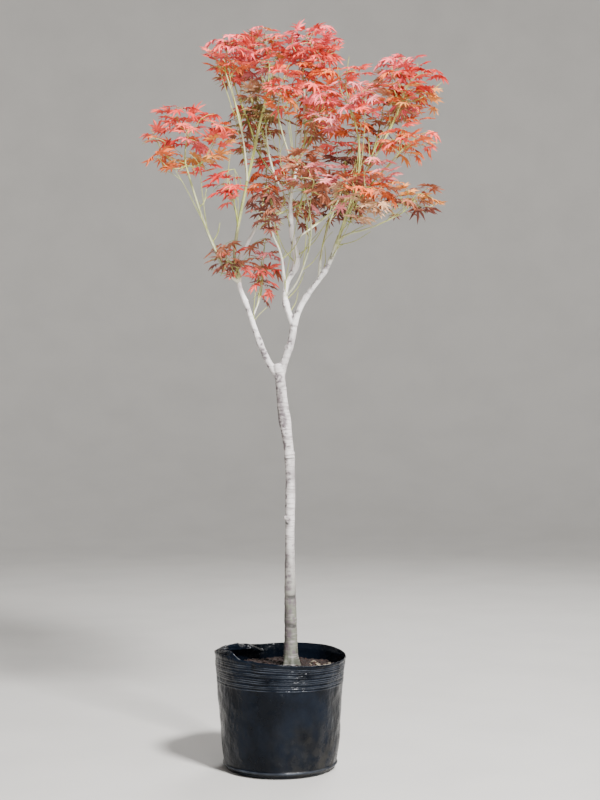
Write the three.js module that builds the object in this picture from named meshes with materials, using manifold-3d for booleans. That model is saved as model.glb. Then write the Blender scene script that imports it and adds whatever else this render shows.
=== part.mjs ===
// A young Japanese maple in a soft black nursery pot: trunk, boughs and masses of foliage.
// Millimetres, +Z up. The origin is the centre of the pot's flat underside, and the front faces -Y.
import * as THREE from 'three';
import { mergeVertices } from 'three/addons/utils/BufferGeometryUtils.js';
import Module from 'manifold-3d';

const wasm = await Module();
wasm.setup();

// Clearance between pieces that touch on the real plant
const GAP = 0.3;

// Pot: [outer radius, height] from the ground up to its plain rim, and its wall. The inside follows every
// second point of the outline
const POT_OUTLINE = [
  [148, 0], [155, 4], [160, 16], [167, 55], [173, 123], [178, 200], [183, 280], [185, 312],
];
const POT_RIM_RADIUS = 188;
const POT_HEIGHT = 324;
const POT_WALL = 3;
const POT_INSIDE = POT_OUTLINE.filter((point, k) => k % 2 === 1)
  .map(([radius, height]) => [radius - POT_WALL, height]);
const POT_RIM_DEPTH = 8;
const POT_SIDES = 24;

// Soil: a level middle that the trunk stands on, sinking a little towards the wall
const SOIL_TOP = 284;
const SOIL_LEVEL_RADIUS = 66;
const SOIL_SINK = 6;

// Trunk: where it leaves the soil, and its root flare
const TRUNK_FOOT_X = 31;
const FLARE_HEIGHT = 95;
const FLARE_SWELL = 0.16;
const FLARE_ROOTS = 4;
const ROOT_RELIEF = 0.6;

// Limbs. Each leaves its parent at a fraction of the parent's length. Lean is its slant from upright towards +X
// and away its slant towards +Y, in degrees at even steps along it. Radii run evenly from foot to tip
const LIMBS = [
  { name: 'trunk', on: null, at: 0, length: 846, radius: [20.5, 17, 15.2, 12.8, 14.4, 13.6, 16.6, 14],
    lean: [0, -1, 0, 1, -9, -4], away: [0, 0, 0, 0, 1, -4] },
  { name: 'left_leader', on: 'trunk', at: 0.98, length: 394, radius: [10.5, 9, 7.6, 6.8, 6.3],
    lean: [-44, -26, -20, -18, -24, 2, 14], away: [2, 8, 6, 2] },
  { name: 'right_leader', on: 'trunk', at: 0.98, length: 163, radius: [11.5, 10],
    lean: [14, 20, 4], away: [-4, -9] },
  { name: 'mid_stem', on: 'right_leader', at: 0.95, length: 371, radius: [8.6, 7.4, 6.2, 5],
    lean: [-24, -18, 8, 36, -13, -9, -2, -1], away: [-4, 4, 6, -5, -8] },
  { name: 'right_limb', on: 'right_leader', at: 0.97, length: 288, radius: [9.2, 7.4, 6],
    lean: [15, 27, 39, 35, 20, 18], away: [-15, -18, -10] },
  { name: 'left_stem', on: 'left_leader', at: 0.78, length: 296, radius: [5.6, 4.2],
    lean: [-19, 7, 13, 10], away: [-8] },
  { name: 'cross_limb', on: 'left_leader', at: 0.98, length: 129, radius: [5.6, 4.2],
    lean: [30, 27, 18], away: [17, 27, 22] },
  { name: 'far_left_bough', on: 'left_leader', at: 0.77, length: 371, radius: [4.6, 3],
    lean: [-63, -23, -21, -17, -16], away: [-34, -24, -20, -15, -10] },
  { name: 'left_top_bough', on: 'left_stem', at: 0.98, length: 303, radius: [3.4, 2.2],
    lean: [-2, -8, -15, -18], away: [-14, -10, 0] },
  { name: 'high_left_bough', on: 'left_stem', at: 0.98, length: 320, radius: [3.8, 2.4],
    lean: [17, 10, 14, 3], away: [0, 7, -2] },
  { name: 'back_left_bough', on: 'high_left_bough', at: 0.3, length: 257, radius: [2.9, 2.1],
    lean: [-9, -23, -14], away: [25] },
  { name: 'mid_left_bough', on: 'mid_stem', at: 0.97, length: 270, radius: [4, 2.6],
    lean: [-35, -22, -9, -3], away: [18, 20, 14] },
  { name: 'back_mid_bough', on: 'mid_left_bough', at: 0.34, length: 200, radius: [2.9, 2.1],
    lean: [-34, -30, -26], away: [58, 50, 40] },
  { name: 'front_top_bough', on: 'mid_stem', at: 0.97, length: 240, radius: [3.8, 2.4],
    lean: [5, 1, -20, -13], away: [-28, -24, -14] },
  { name: 'peak_bough', on: 'mid_stem', at: 0.97, length: 365, radius: [4.4, 2.6],
    lean: [10, 9, 7, -7], away: [8, 10, 5, -1] },
  { name: 'centre_right_bough', on: 'peak_bough', at: 0.65, length: 58, radius: [2.9, 2.1],
    lean: [73, 85], away: [-58, -52] },
  { name: 'back_high_bough', on: 'peak_bough', at: 0.34, length: 185, radius: [3.1, 2.1],
    lean: [30, 22, 17], away: [50] },
  { name: 'upper_right_bough', on: 'right_limb', at: 0.98, length: 369, radius: [4.4, 2.4],
    lean: [24, 16, -1, -22], away: [2] },
  { name: 'right_top_bough', on: 'upper_right_bough', at: 0.32, length: 296, radius: [3.6, 2.3],
    lean: [24, 30, 29, 18], away: [-2, 2, 12] },
  { name: 'shoulder_bough', on: 'right_top_bough', at: 0.33, length: 208, radius: [2.8, 2],
    lean: [16, 14], away: [38, 47] },
  { name: 'right_mid_bough', on: 'upper_right_bough', at: 0.2, length: 210, radius: [3.4, 2.1],
    lean: [34, 41, 44, 41], away: [-24, -15, -10] },
  { name: 'low_right_bough', on: 'right_limb', at: 0.95, length: 184, radius: [3.4, 2],
    lean: [52, 81, 69, 64], away: [-29, -25, -8] },
  { name: 'front_right_bough', on: 'right_limb', at: 0.92, length: 149, radius: [3.1, 2.1],
    lean: [15, 20, 17], away: [-42, -40, -30] },
  { name: 'rear_right_bough', on: 'right_limb', at: 0.53, length: 385, radius: [3.8, 2.3],
    lean: [0, 15, 22, 3], away: [16, 29, 24, 15] },
  { name: 'back_right_bough', on: 'mid_stem', at: 0.68, length: 262, radius: [3.2, 2],
    lean: [48, 50, 48, 41], away: [48, 43, 37] },
  { name: 'back_cross_bough', on: 'cross_limb', at: 0.97, length: 167, radius: [3.4, 2.1],
    lean: [73, 63, 59], away: [41, 33] },
  { name: 'back_low_bough', on: 'cross_limb', at: 0.97, length: 124, radius: [3.4, 2.1],
    lean: [14, 7], away: [30, 22] },
  { name: 'front_low_bough', on: 'mid_stem', at: 0.28, length: 223, radius: [4.2, 2.2],
    lean: [-8, -5, -28, -5], away: [-15, -29, -38, -30] },
  { name: 'front_mid_bough', on: 'mid_stem', at: 0.23, length: 328, radius: [3.2, 2.1],
    lean: [49, 23, 15, -6, -17], away: [-30, -25, -17] },
  { name: 'left_twig_bough', on: 'left_stem', at: 0.53, length: 73, radius: [2.6, 1.9],
    lean: [-7, -9], away: [-28, -22] },
  { name: 'low_left_bough', on: 'left_leader', at: 0.81, length: 53, radius: [2.8, 2],
    lean: [21, -48], away: [-59] },
  { name: 'inner_left_bough', on: 'left_leader', at: 0.48, length: 74, radius: [3, 2.2],
    lean: [25, 15], away: [18, 16] },
];

// Foliage. Each mass grows on from its bough's tip and keeps to its own space, an egg-shaped room that reaches
// so far from its centre along X, Y and Z, parted from its neighbours by planes. Leaves is the most it holds
const MASSES = [
  { name: 'far_left_leaves', on: 'far_left_bough', centre: [-257, -95, 1765], reach: [143, 118, 110],
    leaves: 19, seed: 35, tint: 'coral' },
  { name: 'left_top_leaves', on: 'left_top_bough', centre: [-146, -60, 2025], reach: [74, 103, 67],
    leaves: 11, seed: 30, tint: 'coral' },
  { name: 'high_left_leaves', on: 'high_left_bough', centre: [-42, 5, 2042], reach: [74, 103, 81],
    leaves: 11, seed: 34, tint: 'coral' },
  { name: 'back_left_leaves', on: 'back_left_bough', centre: [-140, 125, 2020], reach: [78, 103, 81],
    leaves: 8, seed: 33, tint: 'coral' },
  { name: 'peak_leaves', on: 'peak_bough', centre: [88, 5, 2034], reach: [94, 121, 96],
    leaves: 19, seed: 16, tint: 'coral' },
  { name: 'mid_left_leaves', on: 'mid_left_bough', centre: [-60, 60, 1910], reach: [72, 103, 94],
    leaves: 12, seed: 26, tint: 'bronze' },
  { name: 'back_mid_leaves', on: 'back_mid_bough', centre: [-80, 190, 1838], reach: [94, 99, 101],
    leaves: 10, seed: 8, tint: 'bronze' },
  { name: 'front_top_leaves', on: 'front_top_bough', centre: [8, -115, 1907], reach: [58, 85, 103],
    leaves: 9, seed: 11, tint: 'coral' },
  { name: 'centre_right_leaves', on: 'centre_right_bough', centre: [120, -60, 1887], reach: [81, 99, 99],
    leaves: 13, seed: 30, tint: 'rose' },
  { name: 'back_high_leaves', on: 'back_high_bough', centre: [104, 170, 1888], reach: [94, 110, 110],
    leaves: 10, seed: 36, tint: 'coral' },
  { name: 'upper_right_leaves', on: 'upper_right_bough', centre: [219, -85, 1890], reach: [76, 99, 99],
    leaves: 11, seed: 38, tint: 'rose' },
  { name: 'right_top_leaves', on: 'right_top_bough', centre: [358, -60, 1920], reach: [114, 110, 96],
    leaves: 18, seed: 17, tint: 'coral' },
  { name: 'shoulder_leaves', on: 'shoulder_bough', centre: [298, 92, 1896], reach: [99, 110, 108],
    leaves: 10, seed: 36, tint: 'bronze' },
  { name: 'right_mid_leaves', on: 'right_mid_bough', centre: [360, -140, 1756], reach: [96, 99, 60],
    leaves: 12, seed: 25, tint: 'orange' },
  { name: 'rear_right_leaves', on: 'rear_right_bough', centre: [212, 66, 1780], reach: [110, 110, 74],
    leaves: 11, seed: 9, tint: 'bronze' },
  { name: 'front_right_leaves', on: 'front_right_bough', centre: [240, -182, 1622], reach: [108, 103, 94],
    leaves: 15, seed: 25, tint: 'tan' },
  { name: 'low_right_leaves', on: 'low_right_bough', centre: [368, -150, 1596], reach: [94, 87, 63],
    leaves: 9, seed: 28, tint: 'orange' },
  { name: 'front_mid_leaves', on: 'front_mid_bough', centre: [72, -152, 1652], reach: [90, 103, 105],
    leaves: 14, seed: 36, tint: 'rose' },
  { name: 'front_low_leaves', on: 'front_low_bough', centre: [-22, -135, 1568], reach: [72, 94, 74],
    leaves: 9, seed: 39, tint: 'bronze' },
  { name: 'back_right_leaves', on: 'back_right_bough', centre: [186, 178, 1650], reach: [101, 110, 101],
    leaves: 10, seed: 38, tint: 'bronze' },
  { name: 'back_cross_leaves', on: 'back_cross_bough', centre: [72, 195, 1636], reach: [90, 99, 96],
    leaves: 9, seed: 33, tint: 'bronze' },
  { name: 'back_low_leaves', on: 'back_low_bough', centre: [-42, 148, 1704], reach: [74, 99, 94],
    leaves: 8, seed: 36, tint: 'coral' },
  { name: 'left_twig_leaves', on: 'left_twig_bough', centre: [-152, -28, 1646], reach: [65, 69, 56],
    leaves: 4, seed: 15, tint: 'coral' },
  { name: 'low_left_leaves', on: 'low_left_bough', centre: [-138, -22, 1436], reach: [74, 74, 63],
    leaves: 8, seed: 28, tint: 'rose' },
  { name: 'inner_left_leaves', on: 'inner_left_bough', centre: [-54, 50, 1420], reach: [60, 69, 116],
    leaves: 9, seed: 12, tint: 'bronze' },
];

// Leaves: five lobes round a palm, with tips and notches as [angle from the middle lobe, share of the length]
const LEAF_LENGTH = 58;
const LEAF_THICKNESS = 2;
const LEAF_OUTLINE = [[0, 1], [22, 0.52], [45, 0.94], [68, 0.48], [94, 0.76], [130, 0.2]];
const LEAF_DROOP = 0.2;
const LEAF_SCALE = [0.8, 1.1];
const LEAF_HANG = [0.35, 1.25];
const LEAF_STRAY = 1.2;
const LEAF_ROLL = 0.5;
const STALK_LENGTH = 30;
const STALK_LEAST = 9;
const STALK_REACH = 62;
const STALK_BACK = -0.45;

// Twigs
const TWIG_TIP_RADIUS = 1.3;
const TWIG_SHARE = 0.75;
const TWIG_LEAST = 8;
const TWIG_ROOT = 0.25;
const TWIG_OVERRUN = 3;
const TWIG_SIDES = 3;
const STEM_PARTS = 4;
const STEM_LEAD = 7;
const STEM_BEND = 0.45;
const STEM_PAST_CENTRE = 0.3;
const SLIVER = 0.05;
const JOINT_PLACES = [0.35, 0.7, 1];
const SIDE_SHOOT_COST = 15;
const TURN_COST = 60;
const EASY_TURN = 0.5;

// How leaves find their places. Turns are [degrees about the upright, scale], tried in this order
const SPOT_TRIES = 20;
const SPOT_MARGIN = 20;
const MAX_SPREAD = 1000;
const LEAF_TURNS = [[0, 1], [35, 1], [-35, 1], [70, 0.9], [-70, 0.9], [0, 0.8], [105, 0.8], [-105, 0.8]];
const SPACE_MARGIN = 1.2;
const LIMB_CLEARANCE = 2.5;

// Section of the limbs, and the foot radius up to which a limb is a young green shoot
const PATH_STEPS = 24;
const RING_STEP = 50;
const LEAST_RINGS = 4;
const THICK_RADIUS = 5;
const THICK_SIDES = 8;
const THIN_SIDES = 5;
const SHOOT_RADIUS = 4;

const FINISH = {
  pot: { color: 0x1c2026, roughness: 0.5, metalness: 0 },
  soil: { color: 0x4a2f24, roughness: 1, metalness: 0 },
  bark: { color: 0xc9c3b8, roughness: 0.85, metalness: 0 },
  shoot: { color: 0xa5a86a, roughness: 0.7, metalness: 0 },
  coral: { color: 0xe0625a, roughness: 0.6, metalness: 0 },
  rose: { color: 0xd9707c, roughness: 0.6, metalness: 0 },
  orange: { color: 0xdc7440, roughness: 0.6, metalness: 0 },
  bronze: { color: 0xa8704a, roughness: 0.65, metalness: 0 },
  tan: { color: 0xc79a6c, roughness: 0.65, metalness: 0 },
};

const vec = (x, y, z) => new THREE.Vector3(x, y, z);
const UP = vec(0, 0, 1);

// A value that runs evenly through a list as t goes from 0 to 1
function along(list, t) {
  const place = t * (list.length - 1);
  const i = Math.min(Math.floor(place), list.length - 2);
  return list.length === 1 ? list[0] : THREE.MathUtils.lerp(list[i], list[i + 1], place - i);
}

// A point that runs evenly along a path of points
function pointOn(path, t) {
  const place = t * (path.length - 1);
  const i = Math.min(Math.floor(place), path.length - 2);
  return path[i].clone().lerp(path[i + 1], place - i);
}

function directionOn(path, t) {
  const i = Math.min(Math.floor(t * (path.length - 1)), path.length - 2);
  return path[i + 1].clone().sub(path[i]).normalize();
}

// Random numbers that are the same for the same seed
function seeded(seed) {
  let state = seed >>> 0;
  return () => {
    state = (state + 0x6d2b79f5) >>> 0;
    let mixed = Math.imul(state ^ (state >>> 15), 1 | state);
    mixed = (mixed + Math.imul(mixed ^ (mixed >>> 7), 61 | mixed)) ^ mixed;
    return ((mixed ^ (mixed >>> 14)) >>> 0) / 4294967296;
  };
}

function toSolid(geometry) {
  geometry.deleteAttribute('normal');
  geometry.deleteAttribute('uv');
  const merged = mergeVertices(geometry, 1e-3);
  return new wasm.Manifold(new wasm.Mesh({
    numProp: 3,
    vertProperties: new Float32Array(merged.attributes.position.array),
    triVerts: new Uint32Array(merged.index.array),
  }));
}

function toMesh(name, solid, finish) {
  const { vertProperties, triVerts } = solid.getMesh();
  const geometry = new THREE.BufferGeometry();
  geometry.setAttribute('position', new THREE.BufferAttribute(vertProperties, 3));
  geometry.setIndex(new THREE.BufferAttribute(triVerts, 1));
  geometry.computeVertexNormals();
  const mesh = new THREE.Mesh(geometry, new THREE.MeshStandardMaterial(finish));
  mesh.name = name;
  return mesh;
}

// The one body of a solid that holds the most, without loose scraps or sealed hollows
function mainBody(solid) {
  return solid.decompose().reduce((best, body) => (body.volume() > best.volume() ? body : best));
}

function fuse(solids) {
  return solids.length === 1 ? solids[0] : wasm.Manifold.union(solids);
}

// Sideways directions along a path that turn with it and don't twist
function framesOf(path) {
  const frames = [];
  let side = vec(1, 0, 0);
  for (let i = 0; i < path.length; i += 1) {
    const tangent = directionOn(path, i / (path.length - 1));
    side = side.clone().addScaledVector(tangent, -side.dot(tangent)).normalize();
    frames.push({ side, front: side.clone().cross(tangent) });
  }
  return frames;
}

// A closed cylinder bent along a path, with its radius taken from a list
function tube(path, radii, sides, rings, { extra = 0, lengthen = 0, shape = () => 1 } = {}) {
  const frames = framesOf(path);
  const geometry = new THREE.CylinderGeometry(1, 1, 1, sides, rings);
  const position = geometry.attributes.position;
  for (let v = 0; v < position.count; v += 1) {
    const t = position.getY(v) + 0.5;
    const frame = frames[Math.round(t * (path.length - 1))];
    const turn = Math.atan2(position.getX(v), position.getZ(v));
    const radius = along(radii, t) * shape(t, turn) + extra;
    const point = pointOn(path, t)
      .addScaledVector(frame.side, position.getX(v) * radius)
      .addScaledVector(frame.front, position.getZ(v) * radius);
    if (t > 1 - 1e-6) {
      point.addScaledVector(directionOn(path, 1), lengthen);
    }
    position.setXYZ(v, point.x, point.y, point.z);
  }
  return toSolid(geometry);
}

function heading(lean, away) {
  const a = THREE.MathUtils.degToRad(lean);
  const b = THREE.MathUtils.degToRad(away);
  return vec(Math.sin(a) * Math.cos(b), Math.sin(b), Math.cos(a) * Math.cos(b));
}

function limbPath(limb, start) {
  const path = [start];
  for (let i = 0; i < PATH_STEPS; i += 1) {
    const t = (i + 0.5) / PATH_STEPS;
    const step = heading(along(limb.lean, t), along(limb.away, t));
    path.push(path[i].clone().addScaledVector(step, limb.length / PATH_STEPS));
  }
  return path;
}

// The trunk's foot swells into roots that die out up the flare
function rootFlare(t, turn) {
  const height = t * LIMBS[0].length;
  const fade = Math.max(0, 1 - height / FLARE_HEIGHT) ** 2;
  return 1 + FLARE_SWELL * fade * (1 + ROOT_RELIEF * Math.cos(FLARE_ROOTS * turn));
}

function growLimbs() {
  const limbs = new Map();
  for (const limb of LIMBS) {
    const parent = limbs.get(limb.on);
    const start = parent ? pointOn(parent.path, limb.at) : vec(TRUNK_FOOT_X, 0, SOIL_TOP + GAP);
    limbs.set(limb.name, { ...limb, path: limbPath(limb, start) });
  }
  return limbs;
}

function limbSolid(limb, extra = 0) {
  const sides = limb.radius[0] > THICK_RADIUS ? THICK_SIDES : THIN_SIDES;
  const rings = Math.max(LEAST_RINGS, Math.round(limb.length / RING_STEP));
  const shape = limb.on ? undefined : rootFlare;
  return tube(limb.path, limb.radius, sides, rings, { extra, lengthen: extra, shape });
}

// Each limb is cut clear of the limbs before it, so that it starts at its parent's bark
function limbMeshes(limbs) {
  const meshes = [];
  const earlier = [];
  for (const limb of limbs.values()) {
    const room = earlier.length > 0 ? fuse(earlier) : null;
    const solid = room ? mainBody(limbSolid(limb).subtract(room)) : limbSolid(limb);
    earlier.push(limbSolid(limb, GAP));
    meshes.push(toMesh(limb.name, solid, limb.radius[0] > SHOOT_RADIUS ? FINISH.bark : FINISH.shoot));
  }
  return meshes;
}

// The pot's inner radius at a height
function insideAt(height) {
  const above = POT_INSIDE.findIndex(([, level]) => level > height);
  const [low, high] = [POT_INSIDE[above - 1], POT_INSIDE[above]];
  return THREE.MathUtils.mapLinear(height, low[1], high[1], low[0], high[0]);
}

function potMesh() {
  return toMesh('pot', lathe([
    [0, 0], ...POT_OUTLINE, [POT_RIM_RADIUS, POT_HEIGHT - POT_RIM_DEPTH], [POT_RIM_RADIUS, POT_HEIGHT],
    [POT_RIM_RADIUS - POT_WALL, POT_HEIGHT], ...POT_INSIDE.slice().reverse(), [0, POT_WALL],
  ]), FINISH.pot);
}

function soilMesh() {
  const edge = SOIL_TOP - SOIL_SINK;
  const wall = POT_INSIDE.filter(([, height]) => height < edge);
  const side = wall.map(([radius, height]) => [radius - GAP, height + GAP]);
  const top = [[insideAt(edge) - GAP, edge], [SOIL_LEVEL_RADIUS, SOIL_TOP], [0, SOIL_TOP]];
  return toMesh('soil', lathe([[0, POT_WALL + GAP], ...side, ...top]), FINISH.soil);
}

// A profile of [radius, height] turned round the Z axis
function lathe(outline) {
  const geometry = new THREE.LatheGeometry(outline.map(([r, z]) => new THREE.Vector2(r, z)), POT_SIDES);
  geometry.rotateX(Math.PI / 2);
  const position = geometry.attributes.position;
  for (let v = 0; v < position.count; v += 1) {
    const onAxis = Math.hypot(position.getX(v), position.getY(v)) < 1e-4;
    if (onAxis) {
      position.setXYZ(v, 0, 0, position.getZ(v));
    }
  }
  return toSolid(geometry);
}

// How far a mass's egg-shaped room reaches from its centre in a direction
function roomReach(mass, direction) {
  const [x, y, z] = mass.reach;
  return 1 / Math.hypot(direction.x / x, direction.y / y, direction.z / z);
}

// The planes that part a mass from its neighbours
function walls(mass) {
  const planes = [];
  for (const other of MASSES) {
    const between = vec(...other.centre).sub(vec(...mass.centre));
    const distance = between.length();
    const direction = between.normalize();
    const own = roomReach(mass, direction);
    const theirs = roomReach(other, direction);
    if (other !== mass && own + theirs > distance) {
      const share = own / (own + theirs);
      planes.push({ point: vec(...mass.centre).addScaledVector(direction, distance * share), direction });
    }
  }
  return planes;
}

function insideRoom(mass, planes, point, margin) {
  const offset = point.clone().sub(vec(...mass.centre));
  const [x, y, z] = mass.reach;
  const egg = Math.hypot(offset.x / (x - margin), offset.y / (y - margin), offset.z / (z - margin));
  return egg <= 1 && planes.every((plane) => point.clone().sub(plane.point).dot(plane.direction) < -margin);
}

// The limbs that pass through or near a mass's room, thickened by the clearance they are due
function barkNear(mass, limbs) {
  const side = 2 * (Math.max(...mass.reach) + STALK_REACH);
  const box = wasm.Manifold.cube([side, side, side], true).translate(mass.centre);
  const bark = [...limbs.values()].map((limb) => limbSolid(limb, LIMB_CLEARANCE).intersect(box));
  return { solid: fuse(bark) };
}

// A leaf's lobe tips and notches, with the foot of its stalk in the middle of the list
function leafOutline(leaf) {
  const side = leaf.normal.clone().cross(leaf.heading).normalize();
  const reachOut = (angle, reach) => {
    const a = THREE.MathUtils.degToRad(angle);
    return leaf.palm.clone()
      .addScaledVector(leaf.heading, Math.cos(a) * reach)
      .addScaledVector(side, Math.sin(a) * reach)
      .addScaledVector(leaf.normal, -LEAF_DROOP * reach * reach / LEAF_LENGTH);
  };
  const left = LEAF_OUTLINE.map(([angle, share]) => reachOut(angle, share * leaf.size));
  const right = LEAF_OUTLINE.slice(1).map(([angle, share]) => reachOut(-angle, share * leaf.size)).reverse();
  const foot = leaf.foot ?? leaf.palm.clone().addScaledVector(leaf.heading, -STALK_LENGTH);
  return [...left, foot, ...right];
}

function leafFits(mass, planes, leaf, others) {
  const lobes = leafOutline(leaf).filter((point, k) => k !== LEAF_OUTLINE.length);
  return lobes.every((point) => insideRoom(mass, planes, point, SPACE_MARGIN))
    && !crosses(leafSolid(leaf), others);
}

function crosses(solid, others) {
  return others.some((other) => !other.solid.intersect(solid).isEmpty());
}

// A leaf is a sphere of twelve sides and two rows pressed into the lobed outline
function leafSolid(leaf) {
  const outline = leafOutline(leaf);
  const geometry = new THREE.SphereGeometry(1, outline.length, 2);
  const position = geometry.attributes.position;
  for (let v = 0; v < position.count; v += 1) {
    const height = position.getY(v);
    const turn = Math.atan2(position.getZ(v), position.getX(v)) / (2 * Math.PI);
    const k = (Math.round(turn * outline.length) + outline.length) % outline.length;
    const point = Math.abs(height) > 0.5
      ? leaf.palm.clone().addScaledVector(leaf.normal, -Math.sign(height) * LEAF_THICKNESS / 2)
      : outline[k];
    position.setXYZ(v, point.x, point.y, point.z);
  }
  return toSolid(geometry);
}

// The stem runs on from the bough's tip through the middle of the room
function stemPath(mass, bough) {
  const direction = directionOn(bough.path, 1);
  const start = pointOn(bough.path, 1).addScaledVector(direction, GAP);
  const centre = vec(...mass.centre);
  const toCentre = centre.clone().sub(start);
  const far = toCentre.clone().normalize();
  const lead = start.clone().addScaledVector(direction, STEM_LEAD);
  const bend = start.clone().addScaledVector(direction, toCentre.length() * STEM_BEND);
  const end = centre.clone().addScaledVector(far, roomReach(mass, far) * STEM_PAST_CENTRE);
  return [start, ...new THREE.QuadraticBezierCurve3(lead, bend, end).getPoints(STEM_PARTS)];
}

// A leaf turns its tip outwards and hangs a little, with its upper face to the sky
function hangLeaf(palm, heart, random) {
  const spread = (most) => most * (random() - 0.5);
  const outward = palm.clone().sub(heart).setZ(0).normalize();
  const hang = THREE.MathUtils.lerp(LEAF_HANG[0], LEAF_HANG[1], random());
  const heading = outward.add(vec(spread(LEAF_STRAY), spread(LEAF_STRAY), -hang)).normalize();
  const normal = vec(spread(LEAF_ROLL), spread(LEAF_ROLL), 1);
  normal.addScaledVector(heading, -normal.dot(heading)).normalize();
  const scale = THREE.MathUtils.lerp(LEAF_SCALE[0], LEAF_SCALE[1], random());
  return { palm, heading, normal, size: LEAF_LENGTH * scale };
}

// Leaves in even places: of a few random places each takes the furthest from the others in which it fits
function spreadLeaves(mass, planes, bark, heart, random) {
  const leaves = [];
  for (let k = 0; k < mass.leaves; k += 1) {
    const options = [];
    for (let n = 0; n < SPOT_TRIES; n += 1) {
      const palm = spotIn(mass, random);
      const leaf = hangLeaf(palm, heart, random);
      const nearest = Math.min(...leaves.map((other) => other.palm.distanceTo(palm)), MAX_SPREAD);
      if (insideRoom(mass, planes, palm, SPOT_MARGIN)) {
        options.push({ leaf, nearest });
      }
    }
    options.sort((a, b) => b.nearest - a.nearest);
    for (const { leaf } of options) {
      const placed = LEAF_TURNS.map(([angle, scale]) => turnLeaf(leaf, angle, scale))
        .find((turned) => leafFits(mass, planes, turned, [bark, ...leaves]));
      if (placed) {
        leaves.push({ ...placed, solid: leafSolid(placed) });
        break;
      }
    }
  }
  return leaves;
}

function spotIn(mass, random) {
  const height = 2 * random() - 1;
  const turn = 2 * Math.PI * random();
  const reach = Math.cbrt(random());
  const ring = Math.sqrt(1 - height * height);
  const offset = vec(ring * Math.cos(turn), ring * Math.sin(turn), height).multiplyScalar(reach);
  return vec(...mass.centre).add(offset.multiply(vec(...mass.reach)));
}

function turnLeaf(leaf, angle, scale) {
  const turn = THREE.MathUtils.degToRad(angle);
  const heading = leaf.heading.clone().applyAxisAngle(UP, turn);
  const normal = leaf.normal.clone().applyAxisAngle(UP, turn);
  return { ...leaf, heading, normal, size: leaf.size * scale };
}

// Every place on the shoots that a stalk or a side shoot can leave from, but for the stem's lead
function jointsOf(shoots) {
  return shoots.flatMap((shoot, n) => shoot.path.slice(1).flatMap((end, k) => {
    const start = shoot.path[k];
    const last = k === shoot.path.length - 2;
    return JOINT_PLACES.filter((t) => t === 1 || n + k > 0).map((t) => ({
      shoot,
      point: start.clone().lerp(end, t),
      direction: end.clone().sub(start).normalize(),
      radius: THREE.MathUtils.lerp(shoot.radius, TWIG_TIP_RADIUS, (k + t) / (shoot.path.length - 1)),
      atEnd: last && t === 1,
    }));
  }));
}

// The nearest joint that a leaf's stalk can reach without doubling back or crossing anything
function stalkFoot(leaf, joints, others) {
  const behind = ({ point }) => {
    const stalk = point.clone().sub(leaf.palm);
    const length = stalk.length();
    return length < STALK_REACH && length > STALK_LEAST && stalk.dot(leaf.heading) < STALK_BACK * length;
  };
  const feet = joints.filter(behind).map(({ point }) => point);
  feet.sort((a, b) => a.distanceTo(leaf.palm) - b.distanceTo(leaf.palm));
  return feet.find((foot) => !crosses(leafSolid({ ...leaf, foot }), others));
}

// A new twig goes forward from the nearest joint. From a shoot's end it carries that shoot on
function growTwig(end, shoots, others) {
  const joints = jointsOf(shoots).map((joint) => {
    const reach = end.clone().sub(joint.point);
    const forward = reach.clone().normalize().dot(joint.direction);
    const turning = TURN_COST * Math.max(0, EASY_TURN - forward);
    const cost = reach.length() + turning + (joint.atEnd ? 0 : SIDE_SHOOT_COST);
    return { ...joint, length: reach.length(), cost };
  });
  joints.sort((a, b) => a.cost - b.cost);
  const open = joints.find((joint) => {
    const free = { path: [joint.point.clone().lerp(end, TWIG_ROOT), end], radius: joint.radius };
    return joint.length > TWIG_LEAST && !crosses(shootSolid(free), others);
  });
  if (open?.atEnd) {
    open.shoot.path.push(end);
  } else if (open) {
    shoots.push({ path: [open.point, end], radius: Math.max(TWIG_SHARE * open.radius, TWIG_TIP_RADIUS) });
  }
  return Boolean(open);
}

function shootSolid(shoot) {
  const rings = shoot.path.length - 1;
  return tube(shoot.path, [shoot.radius, TWIG_TIP_RADIUS], TWIG_SIDES, rings, { lengthen: TWIG_OVERRUN });
}

// All that grows in one mass: shoots, the first of them the stem, and leaves with their stalks on the shoots
function growMass(mass, limbs) {
  const random = seeded(mass.seed);
  const bough = limbs.get(mass.on);
  const bark = barkNear(mass, limbs);
  const path = stemPath(mass, bough);
  const shoots = [{ path, radius: bough.radius[bough.radius.length - 1] }];
  const leaves = spreadLeaves(mass, walls(mass), bark, path[2], random);
  leaves.sort((a, b) => a.palm.distanceTo(path[0]) - b.palm.distanceTo(path[0]));
  for (const leaf of leaves) {
    const others = [bark, ...leaves.filter((other) => other !== leaf)];
    leaf.foot = stalkFoot(leaf, jointsOf(shoots), others);
    const end = leaf.palm.clone().addScaledVector(leaf.heading, -STALK_LENGTH);
    if (!leaf.foot && growTwig(end, shoots, others)) {
      leaf.foot = end;
    }
    leaf.solid = leafSolid(leaf);
  }
  return { shoots, leaves: leaves.filter((leaf) => leaf.foot) };
}

function massMesh(mass, limbs) {
  const { shoots, leaves } = growMass(mass, limbs);
  const solid = fuse([...shoots.map(shootSolid), ...leaves.map((leaf) => leaf.solid)]);
  return toMesh(mass.name, mainBody(solid).simplify(SLIVER), FINISH[mass.tint]);
}

const tree = new THREE.Group();
const limbs = growLimbs();
tree.add(potMesh(), soilMesh(), ...limbMeshes(limbs));
tree.add(...MASSES.map((mass) => massMesh(mass, limbs)));

export default tree;
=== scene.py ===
"""A young Japanese maple in a soft nursery pot: thin black wall, soil, bark, twigs, stalks and leaves.

Sizes of the plant are millimetres, as in its frame's source, and meshes are metres. +Z is up and the front
faces -Y. The limbs and the spaces of the foliage are the frame's own; the twigs and leaves grow by its rule.
"""
import functools
import math
import random
from collections import namedtuple

import bmesh
import bpy
import numpy as np
from bpy.props import FloatProperty, FloatVectorProperty, IntProperty, PointerProperty
from mathutils import Matrix, Vector, noise
from mathutils.kdtree import KDTree


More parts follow.
